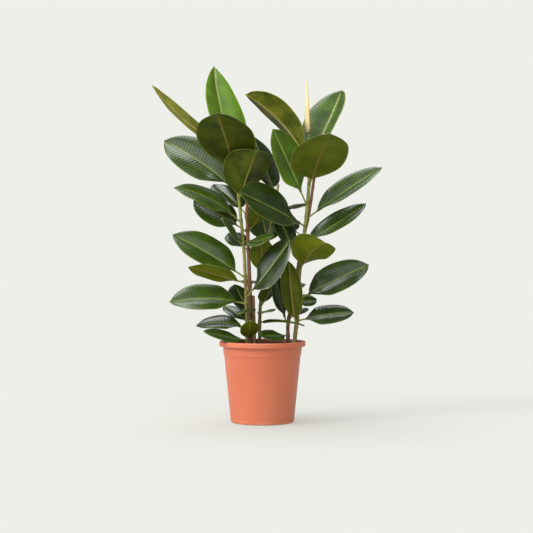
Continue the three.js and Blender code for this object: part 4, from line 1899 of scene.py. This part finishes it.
@dataclass
class RubberPlant:
    """Stems, buds and leaves over the pot.

    Attributes:
        leaf_tones_and_shading: How light the green of a leaf is, from 0 to 1, where it isn't drawn
            at random; a few values are painted shade and one is painted light.
        soil_level: Height of the soil's top.
        joint_reach: How near a stem a stalk's joint belongs to it.
        seed: Seed of the other leaves' tones.
    """

    # Painted shade and light: leaf_27 and leaf_37 are set darkest to stand in for the shade they
    # sit in, and leaf_26 is set lightest to stand in for light shining through it.
    leaf_tones_and_shading: dict[str, float] = field(
        default_factory=lambda: {
            "leaf_01": 0.4, "leaf_02": 0.62, "leaf_03": 0.12, "leaf_04": 0.45, "leaf_05": 0.7,
            "leaf_06": 0.15, "leaf_08": 0.25, "leaf_13": 0.8, "leaf_14": 0.6, "leaf_15": 1.0,
            "leaf_16": 0.55, "leaf_21": 0.85, "leaf_24": 0.3, "leaf_25": 0.5, "leaf_26": 1.0,
            "leaf_27": 0.0, "leaf_28": 0.0, "leaf_30": 1.0, "leaf_31": 0.6, "leaf_32": 0.6,
            "leaf_33": 0.25, "leaf_35": 0.25, "leaf_37": 0.0, "leaf_38": 0.4, "leaf_41": 0.05,
            "leaf_42": 0.35, "leaf_43": 0.65, "leaf_44": 0.0, "leaf_48": 0.5,
        }
    )
    soil_level: float = 0.182
    joint_reach: float = 14 * MM
    seed: int = 5

    def slot_of(self, name: str) -> str:
        """Returns the record's material slot of a node."""
        return next(n["material_slot"] for n in frame["record"]["subparts"] if n["node"] == name)

    def build(self, effects: SharedEffects) -> list[Vector]:
        """Builds the plant.

        Args:
            effects: The shared groups.

        Returns:
            Where the stems stand in the soil.
        """
        names = sorted(frame["nodes"])
        tops = {age: LEAF_TOPS[age].make(effects) for age in LeafAge}
        undersides = {age: LEAF_UNDERSIDES[age].make(effects) for age in LeafAge}
        ribs = {age: LEAF_RIBS[age].make(effects) for age in LeafAge}
        pattern = LeafPattern()
        rng = random.Random(self.seed)
        joints = []
        for name in (n for n in names if n.startswith("leaf_")):
            leaf = Leaf(name, LeafAge(self.slot_of(name)))
            finishes = [tops[leaf.age], undersides[leaf.age], ribs[leaf.age]]
            spread = rng.uniform(0.1, 0.6)
            joints.append(leaf.build(pattern, finishes, self.leaf_tones_and_shading.get(name, spread)))
        pattern.put_away()
        barks = {kind: STEM_BARKS[kind].make(effects) for kind in StemKind}
        feet = []
        for name in (n for n in names if n.startswith("stem_")):
            run = Limb.read(name, from_low_end=True).centres()
            steps = [along(run, k / 8) for k in range(8 * len(run) - 8)]
            near = [
                joint
                for joint in joints
                if min((joint - step).length for step in steps) < self.joint_reach
            ]
            kind = StemKind(self.slot_of(name))
            Stem(name, kind, near, cut=name == "stem_pruned").build(barks[kind])
            feet.append(min(steps, key=lambda step: abs(step.z - self.soil_level)))
        skin = SheathFinish().make(effects)
        for name in (n for n in names if n.startswith("bud_")):
            Bud(name).build(skin)
        return feet


# ---- Studio ----


@dataclass
class Studio:
    """Plain floor, soft light and the camera.

    Attributes:
        paper: Colour of the floor and of the background.
        lens: Focal length in millimetres on a 36 mm sensor.
        eye: Where the camera stands.
        floor_share: How much of the light the floor sends back.
        floor_glow: The even light that the floor adds, so that it meets the background.
        key_way: Where the key lamp stands, seen from the plant.
        key_power: The key lamp's strength.
        key_width: How wide the key lamp looks, in degrees.
        room_light: The even light of the room.
        panels: Bright panels of the room, each with its way, half-width in degrees and strength.
        panel_edge: Width in degrees over which a panel fades out.
    """

    paper: Colour = tint(238, 239, 233)
    lens: float = 83.04
    eye: tuple[float, float, float] = (0.010, -3.0, 0.3787)
    floor_share: float = 0.28
    floor_glow: Colour = tint(172, 172, 165)
    key_way: tuple[float, float, float] = (-0.76, -0.46, 0.62)
    key_power: float = 1.8
    key_width: float = 24.0
    room_light: float = 0.28
    panels: tuple[tuple[tuple[float, float, float], float, float], ...] = (
        ((-0.15, 0.15, 0.97), 19, 6.0),
        ((-0.90, -0.15, 0.35), 13, 3.0),
        ((-0.10, -1.00, 0.40), 36, 1.5),
    )
    panel_edge: float = 9.0

    def floor(self) -> None:
        """Lays the floor."""
        clear_bench()
        bpy.ops.mesh.primitive_plane_add(size=60.0)
        floor = bpy.context.object
        floor.name = "floor"
        material, sheet, surface = new_material("pale_floor")
        speckle = sheet.fade(sheet.noise(sheet.place(), 700.0, 2.0), 0.2, 0.8, 0.985, 1.0)
        paper = (*(part * self.floor_share for part in self.paper[:3]), 1.0)
        shade = sheet.mix(1.0, paper, speckle, "MULTIPLY")
        sheet.feed(surface.inputs["Base Color"], shade)
        surface.inputs["Roughness"].default_value = 1.0
        surface.inputs["Specular IOR Level"].default_value = 0.0
        surface.inputs["Emission Color"].default_value = self.floor_glow
        surface.inputs["Emission Strength"].default_value = 1.0
        floor.data.materials.append(material)

    def lamp(self) -> None:
        """Hangs the key lamp, far and soft."""
        clear_bench()
        way = Vector(self.key_way)
        bpy.ops.object.light_add(type="SUN", location=way * 3)
        lamp = bpy.context.object
        lamp.name = "key_light"
        lamp.data.energy = self.key_power
        lamp.data.angle = math.radians(self.key_width)
        lamp.rotation_mode = "QUATERNION"
        lamp.rotation_quaternion = way.to_track_quat("Z", "Y")

    def sky(self) -> None:
        """Sets the pale surround, with brighter panels that the glossy leaves mirror."""
        world = bpy.data.worlds.new("pale_studio")
        world.use_nodes = True
        bpy.context.scene.world = world
        tree = world.node_tree
        tree.nodes.clear()
        sheet = Sheet(tree)
        way = sheet.add("ShaderNodeTexCoord").outputs["Generated"]
        light = sheet.add("ShaderNodeValue").outputs[0]
        light.default_value = self.room_light
        for towards, width, power in self.panels:
            ways = {0: way, 1: tuple(Vector(towards).normalized())}
            angle = sheet.add("ShaderNodeVectorMath", ways, operation="DOT_PRODUCT")
            low = math.cos(math.radians(width + self.panel_edge))
            high = math.cos(math.radians(width))
            panel = sheet.fade(angle.outputs["Value"], low, high, 0.0, power)
            light = sheet.sum("ADD", light, panel)
        room = sheet.add("ShaderNodeBackground", {"Color": tint(250, 251, 255), "Strength": light})
        paper = sheet.add("ShaderNodeBackground", {"Color": self.paper, "Strength": 1.0})
        seen = sheet.add("ShaderNodeLightPath").outputs["Is Camera Ray"]
        both = sheet.add("ShaderNodeMixShader", {0: seen, 1: room.outputs[0], 2: paper.outputs[0]})
        output = sheet.add("ShaderNodeOutputWorld")
        tree.links.new(both.outputs[0], output.inputs["Surface"])

    def camera(self) -> None:
        """Stands the camera level in front of the plant."""
        clear_bench()
        bpy.ops.object.camera_add(location=self.eye, rotation=(math.pi / 2, 0.0, 0.0))
        camera = bpy.context.object
        camera.name = "front_camera"
        camera.data.sensor_width = 36.0
        camera.data.lens = self.lens
        bpy.context.scene.camera = camera

    def build(self) -> None:
        """Builds the studio."""
        self.floor()
        self.sky()
        self.lamp()
        self.camera()
        bpy.context.scene.view_settings.view_transform = "Standard"
        log.info("studio ready")


def main() -> None:
    """Builds everything in order."""
    logging.basicConfig(level=logging.INFO, format="%(name)s: %(message)s")
    effects = SharedEffects()
    Studio().build()
    pot = NurseryPot()
    pot.build(effects)
    feet = RubberPlant().build(effects)
    PottingSoil(pot).build(effects, feet)
    clear_bench()


if __name__ == "__main__":
    main()
